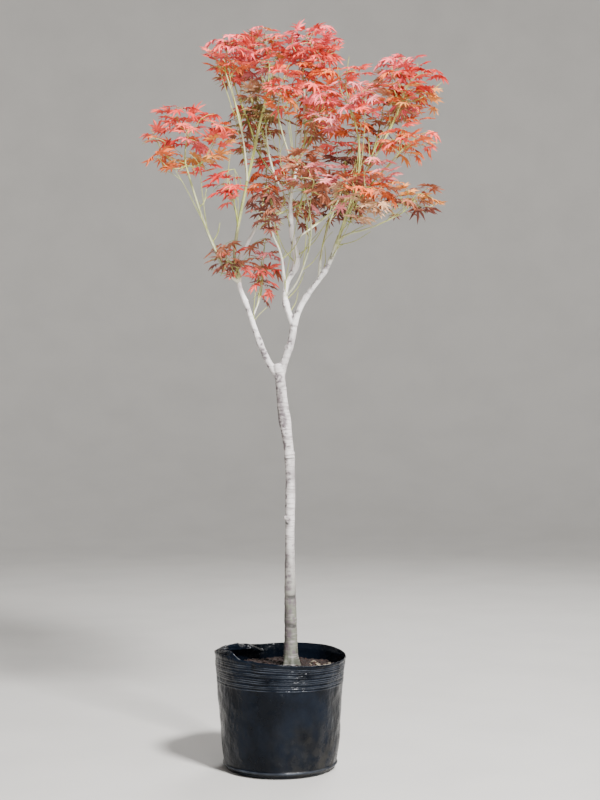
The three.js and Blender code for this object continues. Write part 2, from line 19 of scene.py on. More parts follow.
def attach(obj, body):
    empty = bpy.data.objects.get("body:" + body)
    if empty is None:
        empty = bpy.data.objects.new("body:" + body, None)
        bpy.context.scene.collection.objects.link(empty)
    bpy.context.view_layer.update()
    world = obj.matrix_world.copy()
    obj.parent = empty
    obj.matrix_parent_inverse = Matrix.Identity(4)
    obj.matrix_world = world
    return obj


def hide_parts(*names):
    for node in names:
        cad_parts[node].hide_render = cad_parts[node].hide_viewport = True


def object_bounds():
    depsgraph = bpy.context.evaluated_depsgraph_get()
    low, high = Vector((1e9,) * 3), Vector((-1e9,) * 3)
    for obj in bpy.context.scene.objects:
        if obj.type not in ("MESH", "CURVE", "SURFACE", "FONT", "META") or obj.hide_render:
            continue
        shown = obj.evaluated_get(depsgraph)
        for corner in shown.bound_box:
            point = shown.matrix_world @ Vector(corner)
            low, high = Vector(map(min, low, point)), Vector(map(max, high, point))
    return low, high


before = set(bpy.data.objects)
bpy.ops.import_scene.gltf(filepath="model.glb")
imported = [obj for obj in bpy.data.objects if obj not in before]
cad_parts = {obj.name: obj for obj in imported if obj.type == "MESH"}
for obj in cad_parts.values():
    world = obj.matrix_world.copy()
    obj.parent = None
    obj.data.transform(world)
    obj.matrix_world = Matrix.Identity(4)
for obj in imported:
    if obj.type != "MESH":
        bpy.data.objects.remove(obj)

bl_info = {
    "name": "Potted Maple",
    "version": (1, 0, 0),
    "blender": (4, 5, 0),
    "location": "3D View > Sidebar > Maple",
    "description": "Builds a young potted maple with autumn leaves round its frame",
    "category": "Add Mesh",
}

MM = 0.001
UP = Vector((0, 0, 1))
MERGE_DISTANCE = 0.001 * MM
FRAME_BOX = [list(corner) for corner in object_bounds()]
# How far a leaf may reach past the frame's box along X, Y and Z
BOX_SPARE = (9, 9, 20)

# Pot: (outer radius, height) up to the rim, over the underside and the foot from the middle outwards, and
# over the floor inside. The trunk stands on a point of the soil
POT_OUTLINE = ((148, 0), (155, 4), (160, 16), (167, 55), (173, 123), (178, 200), (183, 280), (185, 312))
POT_UNDERSIDE = ((0, 3), (120, 3), (140, 2.5), (145, 0), (148, 0), (152, 1.4), (155, 4), (156, 7))
POT_FLOOR = ((120, 5.5), (0, 5.5))
POT_RIM_RADIUS = 188
POT_HEIGHT = 324
POT_STEPS = 300
SOIL_TOP = 284
SOIL_EDGE = 278
TRUNK_FOOT = Vector((31, 0, SOIL_TOP))

# Lip: heights of its foot, of the lower and the upper edge of its outer face, and of its foot inside
LIP_HEIGHTS = (316, 317.5, 322.5, 317)
LIP_STEP = 1
# Plain wall between the bead and the rings, and the rows inside the pot above and below it
PLAIN_WALL = (25, 243)
PLAIN_ROWS = 28
INNER_ROWS = (312, 305, 298, 291, 284, 270)
INNER_FOOT = 8

# Mouldings: (height from the middle, share of how far they stand out). The rings fill a band below the rim
# and stray a little from even heights. Crests over CREST_OUT high get scuffed if they lie in CREST_BAND, and
# their lighter colour there is partly a painted highlight
RING_BAND = (248, 311)
RING_SECTION = ((-1.5, 0), (-0.7, 0.85), (0, 1), (0.7, 0.85), (1.5, 0))
RING_STRAY = 1.3
RING_STRAY_STEP = 2.4
BEAD_HEIGHT = 16
BEAD_SECTION = ((-4.4, 0), (-3.2, 0.7), (0, 1), (3.2, 0.7), (4.4, 0))
BEAD_OUT = 4.2
CREST_OUT = 0.35
CREST_BAND = (15, 312)

# Dents: (turn about the pot from +X in degrees, height, half width in degrees, half height, share of the
# depth). Nothing within the radius that is free of them is moved
DENTS = (
    (-115, 322, 3, 34, 1.3), (-150, 240, 16, 60, 0.7), (-60, 110, 20, 60, 0.6), (-20, 210, 18, 70, 0.9),
    (40, 150, 22, 60, 0.8), (95, 90, 18, 50, 0.7), (130, 230, 15, 60, 0.8), (178, 120, 20, 70, 0.7),
    (-90, 300, 12, 22, 0.3), (-40, 60, 12, 26, 0.5), (-128, 312, 5, 16, -0.5), (-104, 150, 5, 90, 0.45),
    (-76, 60, 7, 34, 0.6), (-138, 60, 6, 40, 0.5),
)
DENT_FREE = 100

# Soft film: how deep the wall waves, and the grain of its waves, swells, folds and creases. A grain scales a
# place in millimetres, or a point on a circle of radius 1, to the noise that is read there. The slack of the
# film grows from the foot up to a share of the height
WAVE_DEPTH = 3
WAVE_GRAIN = 2.2
SWELL_GRAIN = 0.028
FOLD_GRAIN = Vector((0.07, 0.07, 0.05))
FOLD_SHARE = 0.5
CREASE_GRAIN = 0.11
CREASE_SHIFT = 5
CREASE_SHARE = 0.7
TAUT_FOOT = 0.25
# Tilt of the rim: a part that goes up and down twice round it, one that does so once, and where it starts
RIM_TILT = (5.5, -4.5)
TILT_START = 190

# Loose edge: the part of the turn it takes in degrees, how fast it comes on there, the height it starts at,
# and its waves as (share, grain). Lift and push have an even part and a part that follows the waves
FOLD = (108, 238)
FOLD_ONSET = 2.5
CRUMPLE_START = 296
CRUMPLE_WAVES = ((1, 4), (0.12, 11))
CRUMPLE_LIFT = (0.45, 0.7)
CRUMPLE_PUSH = (0.3, 1.1)

# Flap of film that is folded inwards there: its section (radius, height), its mesh, and the degrees in which
# its ends run out. It gets loose from FLAP_START inside the rim on, over FLAP_REACH
FLAP_SECTION = ((183.4, 298), (184.4, 310), (184.5, 320), (181, 328), (174, 331), (166, 327), (161, 319))
FLAP_STEPS = 60
FLAP_CUTS = 3
FLAP_WALL = 1.2
FLAP_EASE = 18
FLAP_START = 4
FLAP_REACH = 16
# Its waves and crinkles as grains and shares, how far each pushes it inwards, and how far each makes it sag
FLAP_GRAIN = 3
FLAP_FINE_GRAIN = 6
FLAP_FINE_SHARE = 0.3
FLAP_FINE_RISE = 0.15
CRINKLE_RUN = 0.16
CRINKLE_FINE_GRAIN = 7
CRINKLE_FINE_SHARE = 0.4
CRINKLE_FINE_RUN = 1.7
FLAP_PUSH = (1.5, 0.7)
FLAP_END_DROP = 14
FLAP_SAG = (4, 5)
FLAP_SAG_GRAIN = 4

# Soil: its underside, the rows up its side, its gap to the wall, and how much lower its edge lies than its
# middle. Lumps rise only from its top
SOIL_BASE = ((0, 8), (120, 8))
SOIL_SIDE = (10, 120, 240, 274)
SOIL_GAP = 4
SOIL_RINGS = 60
SOIL_STEPS = 180
SOIL_DIP = SOIL_TOP - SOIL_EDGE
LUMPS_START = SOIL_EDGE - 1
# Its swells and its sharper lumps as (share, grain), and the mound round the trunk's foot
SOIL_SWELLS = ((0.6, 0.045),)
SOIL_LUMPS = ((0.6, 0.1), (0.45, 0.24))
MOUND_HEIGHT = 5
MOUND_REACH = 34
# Loose bits: least and greatest size, the chips' patch as (x, y, radius), and how far they keep from the
# wall. A bias over 1 makes small bits the more common
CRUMB_SIZES = (2.2, 8)
CHIP_SIZES = (2.5, 8)
CHIP_PATCH = (112, 14, 64)
CRUMB_SEED = 4
CHIP_SEED = 9
CRUMB_SHADE = 1.25
BIT_MARGIN = 12
BIT_STRETCH = (0.7, 1.5)
BIT_FLATNESS = (1, 1, 0.6)
SMALL_BIAS = 3

# Limbs. Each leaves its parent at a fraction of the parent's length. Lean is its slant from upright towards
# +X and away its slant towards +Y, in degrees at even steps along it. Radii run evenly from foot to tip. Age
# runs from foot to tip too, between 1 for pale grey old bark and 0 for a green shoot
Limb = namedtuple("Limb", "name on at length radius lean away age")
LIMBS = (
    Limb("trunk", None, 0, 846, (20.5, 17, 15.2, 12.8, 14.4, 13.6, 16.6, 14),
         (0, -1, 0, 1, -9, -4), (0, 0, 0, 0, 1, -4), (1, 1)),
    Limb("left_leader", "trunk", 0.98, 394, (10.5, 9, 7.6, 6.8, 6.3),
         (-44, -26, -20, -18, -24, 2, 14), (2, 8, 6, 2), (1, 0.85)),
    Limb("right_leader", "trunk", 0.98, 163, (11.5, 10), (14, 20, 4), (-4, -9), (1, 1)),
    Limb("mid_stem", "right_leader", 0.95, 371, (8.6, 7.4, 6.2, 5),
         (-24, -18, 8, 36, -13, -9, -2, -1), (-4, 4, 6, -5, -8), (1, 0.85)),
    Limb("right_limb", "right_leader", 0.97, 288, (9.2, 7.4, 6),
         (15, 27, 39, 35, 20, 18), (-15, -18, -10), (1, 1, 0.8, 0.15)),
    Limb("left_stem", "left_leader", 0.78, 296, (5.6, 4.2), (-19, 7, 13, 10), (-8,), (0.3, 0.1)),
    Limb("cross_limb", "left_leader", 0.98, 129, (5.6, 4.2), (30, 27, 18), (17, 27, 22), (0.9, 0.4)),
    Limb("far_left_bough", "left_leader", 0.77, 371, (4.6, 3),
         (-63, -23, -21, -17, -16), (-34, -24, -20, -15, -10), (0.45, 0.15)),
    Limb("left_top_bough", "left_stem", 0.98, 303, (3.4, 2.2),
         (-2, -8, -15, -18), (-14, -10, 0), (0.35, 0.2)),
    Limb("high_left_bough", "left_stem", 0.98, 320, (3.8, 2.4),
         (17, 10, 14, 3), (0, 7, -2), (0.1, 0.1)),
    Limb("back_left_bough", "high_left_bough", 0.3, 257, (2.9, 2.1), (-9, -23, -14), (25,), (0.1, 0)),
    Limb("mid_left_bough", "mid_stem", 0.97, 270, (4, 2.6),
         (-35, -22, -9, -3), (18, 20, 14), (0.6, 0.25)),
    Limb("back_mid_bough", "mid_left_bough", 0.34, 200, (2.9, 2.1),
         (-34, -30, -26), (58, 50, 40), (0.2, 0.1)),
    Limb("front_top_bough", "mid_stem", 0.97, 240, (3.8, 2.4),
         (5, 1, -20, -13), (-28, -24, -14), (0.5, 0.2)),
    Limb("peak_bough", "mid_stem", 0.97, 365, (4.4, 2.6), (10, 9, 7, -7), (8, 10, 5, -1), (0.6, 0.3)),
    Limb("centre_right_bough", "peak_bough", 0.65, 58, (2.9, 2.1), (73, 85), (-58, -52), (0.2, 0.1)),
    Limb("back_high_bough", "peak_bough", 0.34, 185, (3.1, 2.1), (30, 22, 17), (50,), (0.2, 0)),
    Limb("upper_right_bough", "right_limb", 0.98, 369, (4.4, 2.4),
         (24, 16, -1, -22), (2,), (0.2, 0.05)),
    Limb("right_top_bough", "upper_right_bough", 0.32, 296, (3.6, 2.3),
         (24, 30, 29, 18), (-2, 2, 12), (0.15, 0.1)),
    Limb("shoulder_bough", "right_top_bough", 0.33, 208, (2.8, 2), (16, 14), (38, 47), (0.1, 0)),
    Limb("right_mid_bough", "upper_right_bough", 0.2, 210, (3.4, 2.1),
         (34, 41, 44, 41), (-24, -15, -10), (0.15, 0.05)),
    Limb("low_right_bough", "right_limb", 0.95, 184, (3.4, 2),
         (52, 81, 69, 64), (-29, -25, -8), (0.3, 0.2)),
    Limb("front_right_bough", "right_limb", 0.92, 149, (3.1, 2.1),
         (15, 20, 17), (-42, -40, -30), (0.2, 0.05)),
    Limb("rear_right_bough", "right_limb", 0.53, 385, (3.8, 2.3),
         (0, 15, 22, 3), (16, 29, 24, 15), (0.5, 0.1)),
    Limb("back_right_bough", "mid_stem", 0.68, 262, (3.2, 2),
         (48, 50, 48, 41), (48, 43, 37), (0.5, 0.2)),
    Limb("back_cross_bough", "cross_limb", 0.97, 167, (3.4, 2.1), (73, 63, 59), (41, 33), (0.3, 0.1)),
    Limb("back_low_bough", "cross_limb", 0.97, 124, (3.4, 2.1), (14, 7), (30, 22), (0.3, 0.1)),
    Limb("front_low_bough", "mid_stem", 0.28, 223, (4.2, 2.2),
         (-8, -5, -28, -5), (-15, -29, -38, -30), (0.8, 0.35)),
    Limb("front_mid_bough", "mid_stem", 0.23, 328, (3.2, 2.1),
         (49, 23, 15, -6, -17), (-30, -25, -17), (0.5, 0.15)),
    Limb("left_twig_bough", "left_stem", 0.53, 73, (2.6, 1.9), (-7, -9), (-28, -22), (0.1, 0)),
    Limb("low_left_bough", "left_leader", 0.81, 53, (2.8, 2), (21, -48), (-59,), (0.2, 0.1)),
    Limb("inner_left_bough", "left_leader", 0.48, 74, (3, 2.2), (25, 15), (18, 16), (0.7, 0.4)),
)

# Foliage. Each mass grows on from its bough's tip and keeps to its own space, an egg-shaped room that reaches
# so far from its centre along X, Y and Z, parted from its neighbours by planes. Leaves is the number of the
# frame's large leaves, each of which stands for a few sprays here. Tints run from low sprays to high ones:
# the dark browns and bronzes low down and in the low and back masses are partly painted shade, and the pinks
# and corals high up are partly painted light
Mass = namedtuple("Mass", "name on centre reach leaves seed tints")
MASSES = (
    Mass("far_left_leaves", "far_left_bough", (-257, -95, 1765), (143, 118, 110), 19, 35,
         ("red", "orange", "amber", "orange", "coral", "pink", "coral")),
    Mass("left_top_leaves", "left_top_bough", (-146, -60, 2025), (74, 103, 67), 11, 30,
         ("orange", "coral", "pink", "coral")),
    Mass("high_left_leaves", "high_left_bough", (-42, 5, 2042), (74, 103, 81), 11, 34,
         ("rose", "coral", "amber", "pink")),
    Mass("back_left_leaves", "back_left_bough", (-140, 125, 2020), (78, 103, 81), 8, 33,
         ("bronze", "coral", "coral")),
    Mass("peak_leaves", "peak_bough", (88, 5, 2034), (94, 121, 96), 19, 16,
         ("orange", "coral", "coral", "pink", "pink")),
    Mass("mid_left_leaves", "mid_left_bough", (-60, 60, 1910), (72, 103, 94), 12, 26,
         ("olive", "bronze", "olive", "tan", "rose")),
    Mass("back_mid_leaves", "back_mid_bough", (-80, 190, 1838), (94, 99, 101), 10, 8,
         ("olive", "bronze", "coral")),
    Mass("front_top_leaves", "front_top_bough", (8, -115, 1907), (58, 85, 103), 9, 11,
         ("amber", "orange", "coral", "coral")),
    Mass("centre_right_leaves", "centre_right_bough", (120, -60, 1887), (81, 99, 99), 13, 30,
         ("bronze", "rose", "pink", "coral", "orange")),
    Mass("back_high_leaves", "back_high_bough", (104, 170, 1888), (94, 110, 110), 10, 36,
         ("bronze", "orange", "coral")),
    Mass("upper_right_leaves", "upper_right_bough", (219, -85, 1890), (76, 99, 99), 11, 38,
         ("orange", "pink", "rose", "coral")),
    Mass("right_top_leaves", "right_top_bough", (358, -60, 1920), (114, 110, 96), 18, 17,
         ("tan", "orange", "amber", "coral", "red", "pink")),
    Mass("shoulder_leaves", "shoulder_bough", (298, 92, 1896), (99, 110, 108), 10, 36,
         ("brown", "bronze", "orange", "coral")),
    Mass("right_mid_leaves", "right_mid_bough", (360, -140, 1756), (96, 99, 60), 12, 25,
         ("amber", "orange", "coral", "orange")),
    Mass("rear_right_leaves", "rear_right_bough", (212, 66, 1780), (110, 110, 74), 11, 9,
         ("brown", "bronze", "coral", "orange")),
    Mass("front_right_leaves", "front_right_bough", (240, -182, 1622), (108, 103, 94), 15, 25,
         ("brown", "tan", "tan", "orange", "rose", "bronze")),
    Mass("low_right_leaves", "low_right_bough", (368, -150, 1596), (94, 87, 63), 9, 28,
         ("brown", "bronze", "amber", "bronze")),
    Mass("front_mid_leaves", "front_mid_bough", (72, -152, 1652), (90, 103, 105), 14, 36,
         ("brown", "coral", "bronze", "rose", "bronze", "coral")),
    Mass("front_low_leaves", "front_low_bough", (-22, -135, 1568), (72, 94, 74), 9, 39,
         ("brown", "brown", "bronze", "brown")),
    Mass("back_right_leaves", "back_right_bough", (186, 178, 1650), (101, 110, 101), 10, 38,
         ("brown", "bronze", "coral")),
    Mass("back_cross_leaves", "back_cross_bough", (72, 195, 1636), (90, 99, 96), 9, 33,
         ("brown", "bronze", "orange")),
    Mass("back_low_leaves", "back_low_bough", (-42, 148, 1704), (74, 99, 94), 8, 36,
         ("coral", "orange", "coral")),
    Mass("left_twig_leaves", "left_twig_bough", (-152, -28, 1646), (65, 69, 56), 4, 15, ("coral", "red")),
    Mass("low_left_leaves", "low_left_bough", (-138, -22, 1436), (74, 74, 63), 8, 28,
         ("brown", "bronze", "coral")),
    Mass("inner_left_leaves", "inner_left_bough", (-54, 50, 1420), (60, 69, 116), 9, 12,
         ("brown", "coral", "bronze", "rose")),
)

# Masses that are opener or fuller than the rest, as shares of the number of sprays that others would have
OPENNESS = {
    "front_mid_leaves": 0.72, "front_low_leaves": 0.72, "centre_right_leaves": 0.7, "mid_left_leaves": 0.8,
    "back_low_leaves": 0.75, "back_cross_leaves": 0.75, "rear_right_leaves": 0.8, "back_mid_leaves": 0.8,
    "far_left_leaves": 0.8, "low_right_leaves": 0.7, "low_left_leaves": 0.95, "high_left_leaves": 1.1,
    "left_top_leaves": 0.85, "front_top_leaves": 0.8, "right_mid_leaves": 0.68, "right_top_leaves": 0.85,
    "upper_right_leaves": 0.72, "shoulder_leaves": 0.8,
}

# Bare twigs that stand clear of the leaves: (limb, fraction of its length, length, lean, away, foot radius)
BARE_TWIGS = (
    ("upper_right_bough", 1, 150, -2, -8, 2),
    ("upper_right_bough", 1, 126, -18, -10, 1.7),
    ("right_top_bough", 1, 133, 62, -4, 1.8),
    ("right_top_bough", 1, 120, -12, -6, 1.6),
    ("left_twig_bough", 1, 148, -4, -4, 1.7),
    ("left_twig_bough", 1, 95, -13, -4, 1.2),
    ("far_left_bough", 0.4, 62, 22, -6, 1.5),
    ("far_left_bough", 0.69, 42, 32, 20, 1.4),
    ("left_leader", 0.83, 86, -80, -8, 1.6),
    ("mid_stem", 0.2, 100, 34, -12, 1.7),
    ("mid_stem", 0.1, 74, 22, 16, 1.4),
    ("mid_stem", 0.42, 84, 5, -12, 1.4),
    ("mid_stem", 0.44, 70, 16, 20, 1.2),
    ("right_limb", 0.55, 92, 8, 10, 1.6),
    ("right_limb", 0.9, 110, 70, -22, 1.5),
    ("front_low_bough", 0.42, 92, 38, -8, 1.9),
    ("mid_stem", 0.5, 120, -30, -20, 1.7),
    ("mid_stem", 0.56, 132, 42, -16, 1.8),
    ("mid_stem", 0.9, 70, -40, -14, 1.6),
    ("front_mid_bough", 0.3, 80, 44, -20, 1.4),
    ("front_mid_bough", 0.45, 70, 6, -16, 1.3),
)

# Long shoots: slim ones that leave a bough low down and run up into its mass. Where a bough is shorter than
# LONG_BOUGH, one more leaves the limb it grows on. Each ends at the outermost of a few random twiglets
LONG_SHOOTS = 2
LONG_FOOT = (0.06, 0.7)
LONG_BOUGH = 360
LONG_CHOICES = 3
PARENT_FOOT = 0.55
LONG_RADIUS = (0.9, 1.35)
LONG_BEND = 0.34
LONG_STRAY = 0.09
LONG_KINK = 5
# Short side shoots: how many of the nodes bear one, their length, and how they rise and arch
LONG_SIDE = 0.55
LONG_SIDE_LENGTH = (22, 58)
SIDE_RISE = 0.3
SIDE_ARCH = 2

# Pruned stubs on the old wood: (limb, fraction of its length, lean, away, length past the bark, radius). The
# one at the trunk's end fills the fork. They thin towards their tip: (share of the way, share of the radius)
STUBS = (
    ("trunk", 1, -18, -6, 11, 10),
    ("trunk", 0.505, -84, -20, 5.5, 4.6),
    ("trunk", 0.72, 74, -30, 2.2, 7),
    ("trunk", 0.14, 30, -80, 1, 6),
    ("left_leader", 0.3, -70, -30, 3, 3.4),
    ("left_leader", 0.62, 66, -30, 3, 3.2),
    ("right_leader", 0.55, -80, -20, 3, 4),
    ("mid_stem", 0.13, -72, 0, 4, 3.4),
    ("mid_stem", 0.4, 80, 10, 3, 3.4),
    ("mid_stem", 0.85, -64, -20, 3, 2.8),
    ("right_limb", 0.3, 80, -20, 3, 3.2),
    ("right_limb", 0.62, -50, -30, 3, 3),
)
STUB_TAPER = ((0, 1.7), (0.7, 1.35), (1, 1))

# Old scars round the wood: (limb, fraction of its length, half height, turn of the middle of its dark part
# from +X and half width of that part in degrees, darkness). A darkness over 1 fills the ring evenly
SCARS = (
    ("trunk", 0.143, 5.5, -75, 56, 1.6), ("trunk", 0.241, 5, -72, 54, 1.6),
    ("trunk", 0.37, 8, -145, 42, 0.6), ("trunk", 0.3, 1.2, -60, 60, 0.3),
    ("trunk", 0.487, 5, -128, 36, 1), ("trunk", 0.55, 1.3, -120, 70, 0.3),
    ("trunk", 0.61, 1.1, -80, 60, 0.22), ("trunk", 0.705, 2, -110, 110, 0.9),
    ("trunk", 0.79, 1.4, -150, 50, 0.4), ("trunk", 0.87, 6, -172, 50, 0.7),
    ("trunk", 0.95, 4, -70, 40, 0.6), ("left_leader", 0.2, 1.8, -140, 60, 0.5),
    ("left_leader", 0.5, 1.6, -60, 70, 0.45), ("right_leader", 0.5, 2.2, -170, 60, 0.5),
    ("mid_stem", 0.2, 1.5, -120, 70, 0.4), ("mid_stem", 0.55, 1.4, -60, 60, 0.5),
    ("right_limb", 0.35, 1.6, 170, 70, 0.5), ("right_limb", 0.7, 1.8, -110, 90, 0.6),
    ("trunk", 0.44, 1, -40, 50, 0.25), ("trunk", 0.66, 1, -150, 50, 0.3),
)

# Knots that swell the wood: (limb, fraction of its length, share of the radius, half length)
KNOTS = (
    ("trunk", 0.23, 0.07, 120), ("trunk", 0.705, 0.14, 13), ("trunk", 0.835, 0.13, 20),
    ("trunk", 0.5, 0.05, 12), ("left_leader", 0.3, 0.18, 14), ("left_leader", 0.62, 0.24, 13),
    ("left_leader", 0.8, 0.3, 14), ("right_leader", 0.55, 0.14, 14), ("mid_stem", 0.17, 0.3, 12),
    ("mid_stem", 0.3, 0.1, 14), ("mid_stem", 0.5, 0.48, 32), ("mid_stem", 0.72, 0.42, 70),
    ("mid_stem", 0.86, 0.2, 14), ("front_low_bough", 0.12, 0.3, 50), ("front_low_bough", 0.42, 0.2, 8),
    ("rear_right_bough", 0.08, 0.45, 45), ("low_right_bough", 0.05, 0.3, 20),
    ("front_mid_bough", 0.1, 0.2, 20), ("right_limb", 0.3, 0.16, 12), ("right_limb", 0.62, 0.34, 13),
    ("right_limb", 0.9, 0.24, 12),
)

# Stained stretches of bark: (limb, from and to as fractions of its length, number of stains, turn of their
# middle and how far they stray from it, in degrees). A stain's half width, and its length as a share of that
STAINS = (
    ("trunk", 0.78, 0.98, 46, -140, 55), ("trunk", 0.42, 0.76, 20, -140, 60),
    ("trunk", 0.05, 0.42, 50, -120, 100), ("left_leader", 0, 0.6, 20, -150, 90),
    ("mid_stem", 0.05, 0.9, 14, -170, 70), ("right_limb", 0.05, 0.95, 20, 170, 80),
    ("right_leader", 0.1, 0.95, 14, -170, 70), ("trunk", 0.06, 0.24, 34, -135, 45),
)
STAIN_HALF = (3, 9)
STAIN_LENGTH = (0.5, 1.5)
STAIN_EDGE = 4
STAIN_SEED = 5

# Section of the wood: steps of its course, and the foot radius past which a limb is part of the old wood
PATH_STEPS = 24
WOOD_STEP = 4
LEAST_PARTS = 4
THICK_RADIUS = 5
COLLAR_LENGTH = 14
COLLAR_SWELL = 0.34
FLARE_HEIGHT = 95
FLARE_SWELL = 0.16
NODE_STEP = 46
NODE_SWELL = 0.12
NODE_WIDTH = 3
OLD_NODE_SHARE = 0.3
YOUNG_SLIM = 0.88
# Roots: (height over the soil, reach from the trunk's middle, radius) down their course
ROOTS = 5
ROOT_COURSE = ((85, 6, 6), (45, 11, 8), (16, 17, 9), (0, 21, 9))
ROOT_STRAY = 0.15
ROOT_STRAY_STEP = 3

# Relief of the wood: how it is grown together and smoothed, and the share and grain of its lumps, its
# lengthwise cracks and the bands round it
VOXEL = 1.6
SMOOTH_ROUNDS = 4
SMOOTH_SHARE = 0.5
LUMP_SHARE = 1.1
LUMP_GRAIN = Vector((0.05, 0.05, 0.03))
CRACK_SHARE = 0.9
CRACK_GRAIN = Vector((0.42, 0.42, 0.07))
BAND_SHARE = 0.35
BAND_GRAIN = Vector((0.04, 0.04, 0.5))
# Scars: how far round the limb they reach, how they wave, their depth, and the height and place of their lips
SCAR_REACH = 1.6
SCAR_WAVE = 0.4
SCAR_DEPTH = 0.35
SCAR_LIPS = 0.4
SCAR_LIP_PLACE = 2

# Roundness of the rods: a rod of roundness 0 has four sides, and each step adds two
WOOD_ROUNDNESS = 6
BOUGH_ROUNDNESS = 3
TWIG_ROUNDNESS = 1
STALK_ROUNDNESS = 0

# How twigs branch, as in the frame. At the free places a new twig has to be clear of the wood
STEM_PARTS = 4
STEM_LEAD = 7
STEM_BEND = 0.45
STEM_PAST_CENTRE = 0.3
TWIG_TIP_RADIUS = 0.8
TWIG_SHARE = 0.75
TWIG_LEAST = 8
STALK_REACH = 66
STALK_LEAST = 22
STALK_BACK = -0.3
SPRAY_BACK = 44
JOINT_PLACES = (0.35, 0.7, 1)
SIDE_SHOOT_COST = 15
TURN_COST = 60
EASY_TURN = 0.5
FREE_PLACES = (0.4, 0.6, 0.8, 1)

# Course of the shoots, twiglets, bare twigs and leaf stalks: parts of their curves, radii, arches and crooks
CURVE_PARTS = 3
TWIGLET_PARTS = 2
TWIGLET_RADII = (1.0, 0.6)
TWIGLET_MIDDLE = 0.5
TWIGLET_ARCH = 0.08
BARE_PARTS = 5
BARE_CROOK = 9
STALK_RADII = (0.7, 0.5, 0.5)
STALK_MIDDLE = 0.55
STALK_ARCH = 0.1

# How sprays find their places
SPOT_TRIES = 20
SPOT_MARGIN = 6
MAX_SPREAD = 1000
FLATNESS = 0.82
TIER_STEP = 42
TIER_PULL = 0.7
SPRAY_HANG = (-0.35, 0.45)
SPRAY_STRAY = 1.2

# What a spray holds: (place on its twiglet, turn from it in degrees, share of the size). Then how leaves hang
# and stray, and what they keep clear of
SPRAY_LEAVES = ((0.3, 74, 0.92), (0.3, -74, 0.92), (0.68, 62, 1), (0.68, -62, 1), (1, 36, 0.9), (1, -36, 0.9))
LEAF_TURN_STRAY = 24
LEAF_LIFT = 0.2
LEAF_TO_SKY = 0.6
LEAF_HANG = (-0.35, 0.65)
LEAF_ROLL = 0.7
LEAST_LEAF = 0.82
LEAF_GROWTH = 0.3
PETIOLE = (15, 30)
SPACE_MARGIN = -13
LEAF_MINGLE = 30
LIMB_CLEARANCE = 2
LEAF_CLEARANCE = 20
# Boxes that stay free of leaves, as lowest and highest corner. They show the mid stem and the far left bough
CLEARINGS = (((14, -260, 1470), (54, 0, 1618)), ((-274, -260, 1640), (-240, -97, 1735)))
LEAF_SHRINK = (1, 0.8)
STRAY_TINTS = 0.22
TINT_BLUR = 0.3
LAST_TINT = 0.999

# Leaf: lobes as (angle from the middle lobe, share of the length), with the notches between them
LOBES = ((0, 1), (37, 0.93), (75, 0.72), (120, 0.42))
NOTCH = 0.27
LOBE_SHOULDER = 0.56
LOBE_HALF_WIDTH = 0.094
LEAF_FOOT = 0.1
LEAF_THICKNESS = 0.02
LEAF_KEEL = 0.05
LEAF_DROOPS = (0.06, 0.22, 0.45)

TINT_SLOTS = {
    "coral": "coral_leaf", "red": "coral_leaf", "pink": "rose_leaf", "rose": "rose_leaf",
    "orange": "orange_leaf", "amber": "orange_leaf", "bronze": "bronze_leaf", "brown": "bronze_leaf",
    "olive": "bronze_leaf", "tan": "tan_leaf",
}

# Looks: heights between which clean bark sets in above the fork, paler there partly as painted light on the
# stems, and a mossy foot below, and the ages between which a shoot's bark gets old. Dust lies low down and on
# one side of the pot, and dulls its sheen
BLACK = (0, 0, 0, 1)
WHITE = (1, 1, 1, 1)
CLEAN_LIT_BARK = (1120, 1300)
MOSSY_BARK = (680, 460)
OLD_AGE = (0.1, 0.75)
DUST_HEIGHTS = (190, 40)
DUST_SIDE = (-50, 130)
DUST_SHARES = (0.02, 0.6)
POT_ROUGHNESS = (0.2, 0.85)

# Stage, in metres: the floor sweeps up into a wall all round. Lights are (name, place, width). The photo's
# camera is given by its focus in pixels
STAGE_RADIUS = 9
STAGE_BEND = 3.2
STAGE_HEIGHT = 7.5
STAGE_STEPS = 96
BEND_STEPS = 8
LIGHTS = (("key", (2.1, -3.3, 4.4), 0.9), ("fill", (1.2, -4.7, 1.1), 1.2), ("back", (1.2, 3.4, 4.0), 2.0))
LIGHT_AIM = Vector((0, 0, 1.2))
CAMERA_PLACE = (0.057, -4.39, 1.076)
CAMERA_DIP = 0.37
CAMERA_FOCUS_PX = 1538
IMAGE_HEIGHT_PX = 800


def between(span, share):
    """The value that lies that share of the way along a span"""
    return span[0] + (span[1] - span[0]) * share


def clamped(value):
    return min(max(value, 0), 1)


def in_metres(lengths):
    return [length * MM for length in lengths]


def level(point):
    """A point's place on level ground"""
    return Vector((point.x, point.y, 0))


def along(values, t):
    """A value that runs evenly through a list as t goes from 0 to 1"""
    return float(np.interp(t * (len(values) - 1), range(len(values)), values))


def point_on(path, t):
    place = t * (len(path) - 1)
    i = min(int(place), len(path) - 2)
    return path[i].lerp(path[i + 1], place - i)


def direction_on(path, t):
    i = min(int(t * (len(path) - 1)), len(path) - 2)
    return (path[i + 1] - path[i]).normalized()


def heading(lean, away):
    a, b = math.radians(lean), math.radians(away)
    return Vector((math.sin(a) * math.cos(b), math.sin(b), math.cos(a) * math.cos(b)))


def limb_named(name):
    return next(limb for limb in LIMBS if limb.name == name)


def limb_path(limb, start):
    path = [start]
    for i in range(PATH_STEPS):
        t = (i + 0.5) / PATH_STEPS
        path.append(path[i] + heading(along(limb.lean, t), along(limb.away, t)) * (limb.length / PATH_STEPS))
    return path


@functools.cache
def grow_limbs():
    """The middle line of every limb, by name"""
    paths = {}
    for limb in LIMBS:
        start = point_on(paths[limb.on], limb.at) if limb.on else TRUNK_FOOT
        paths[limb.name] = limb_path(limb, start)
    return paths


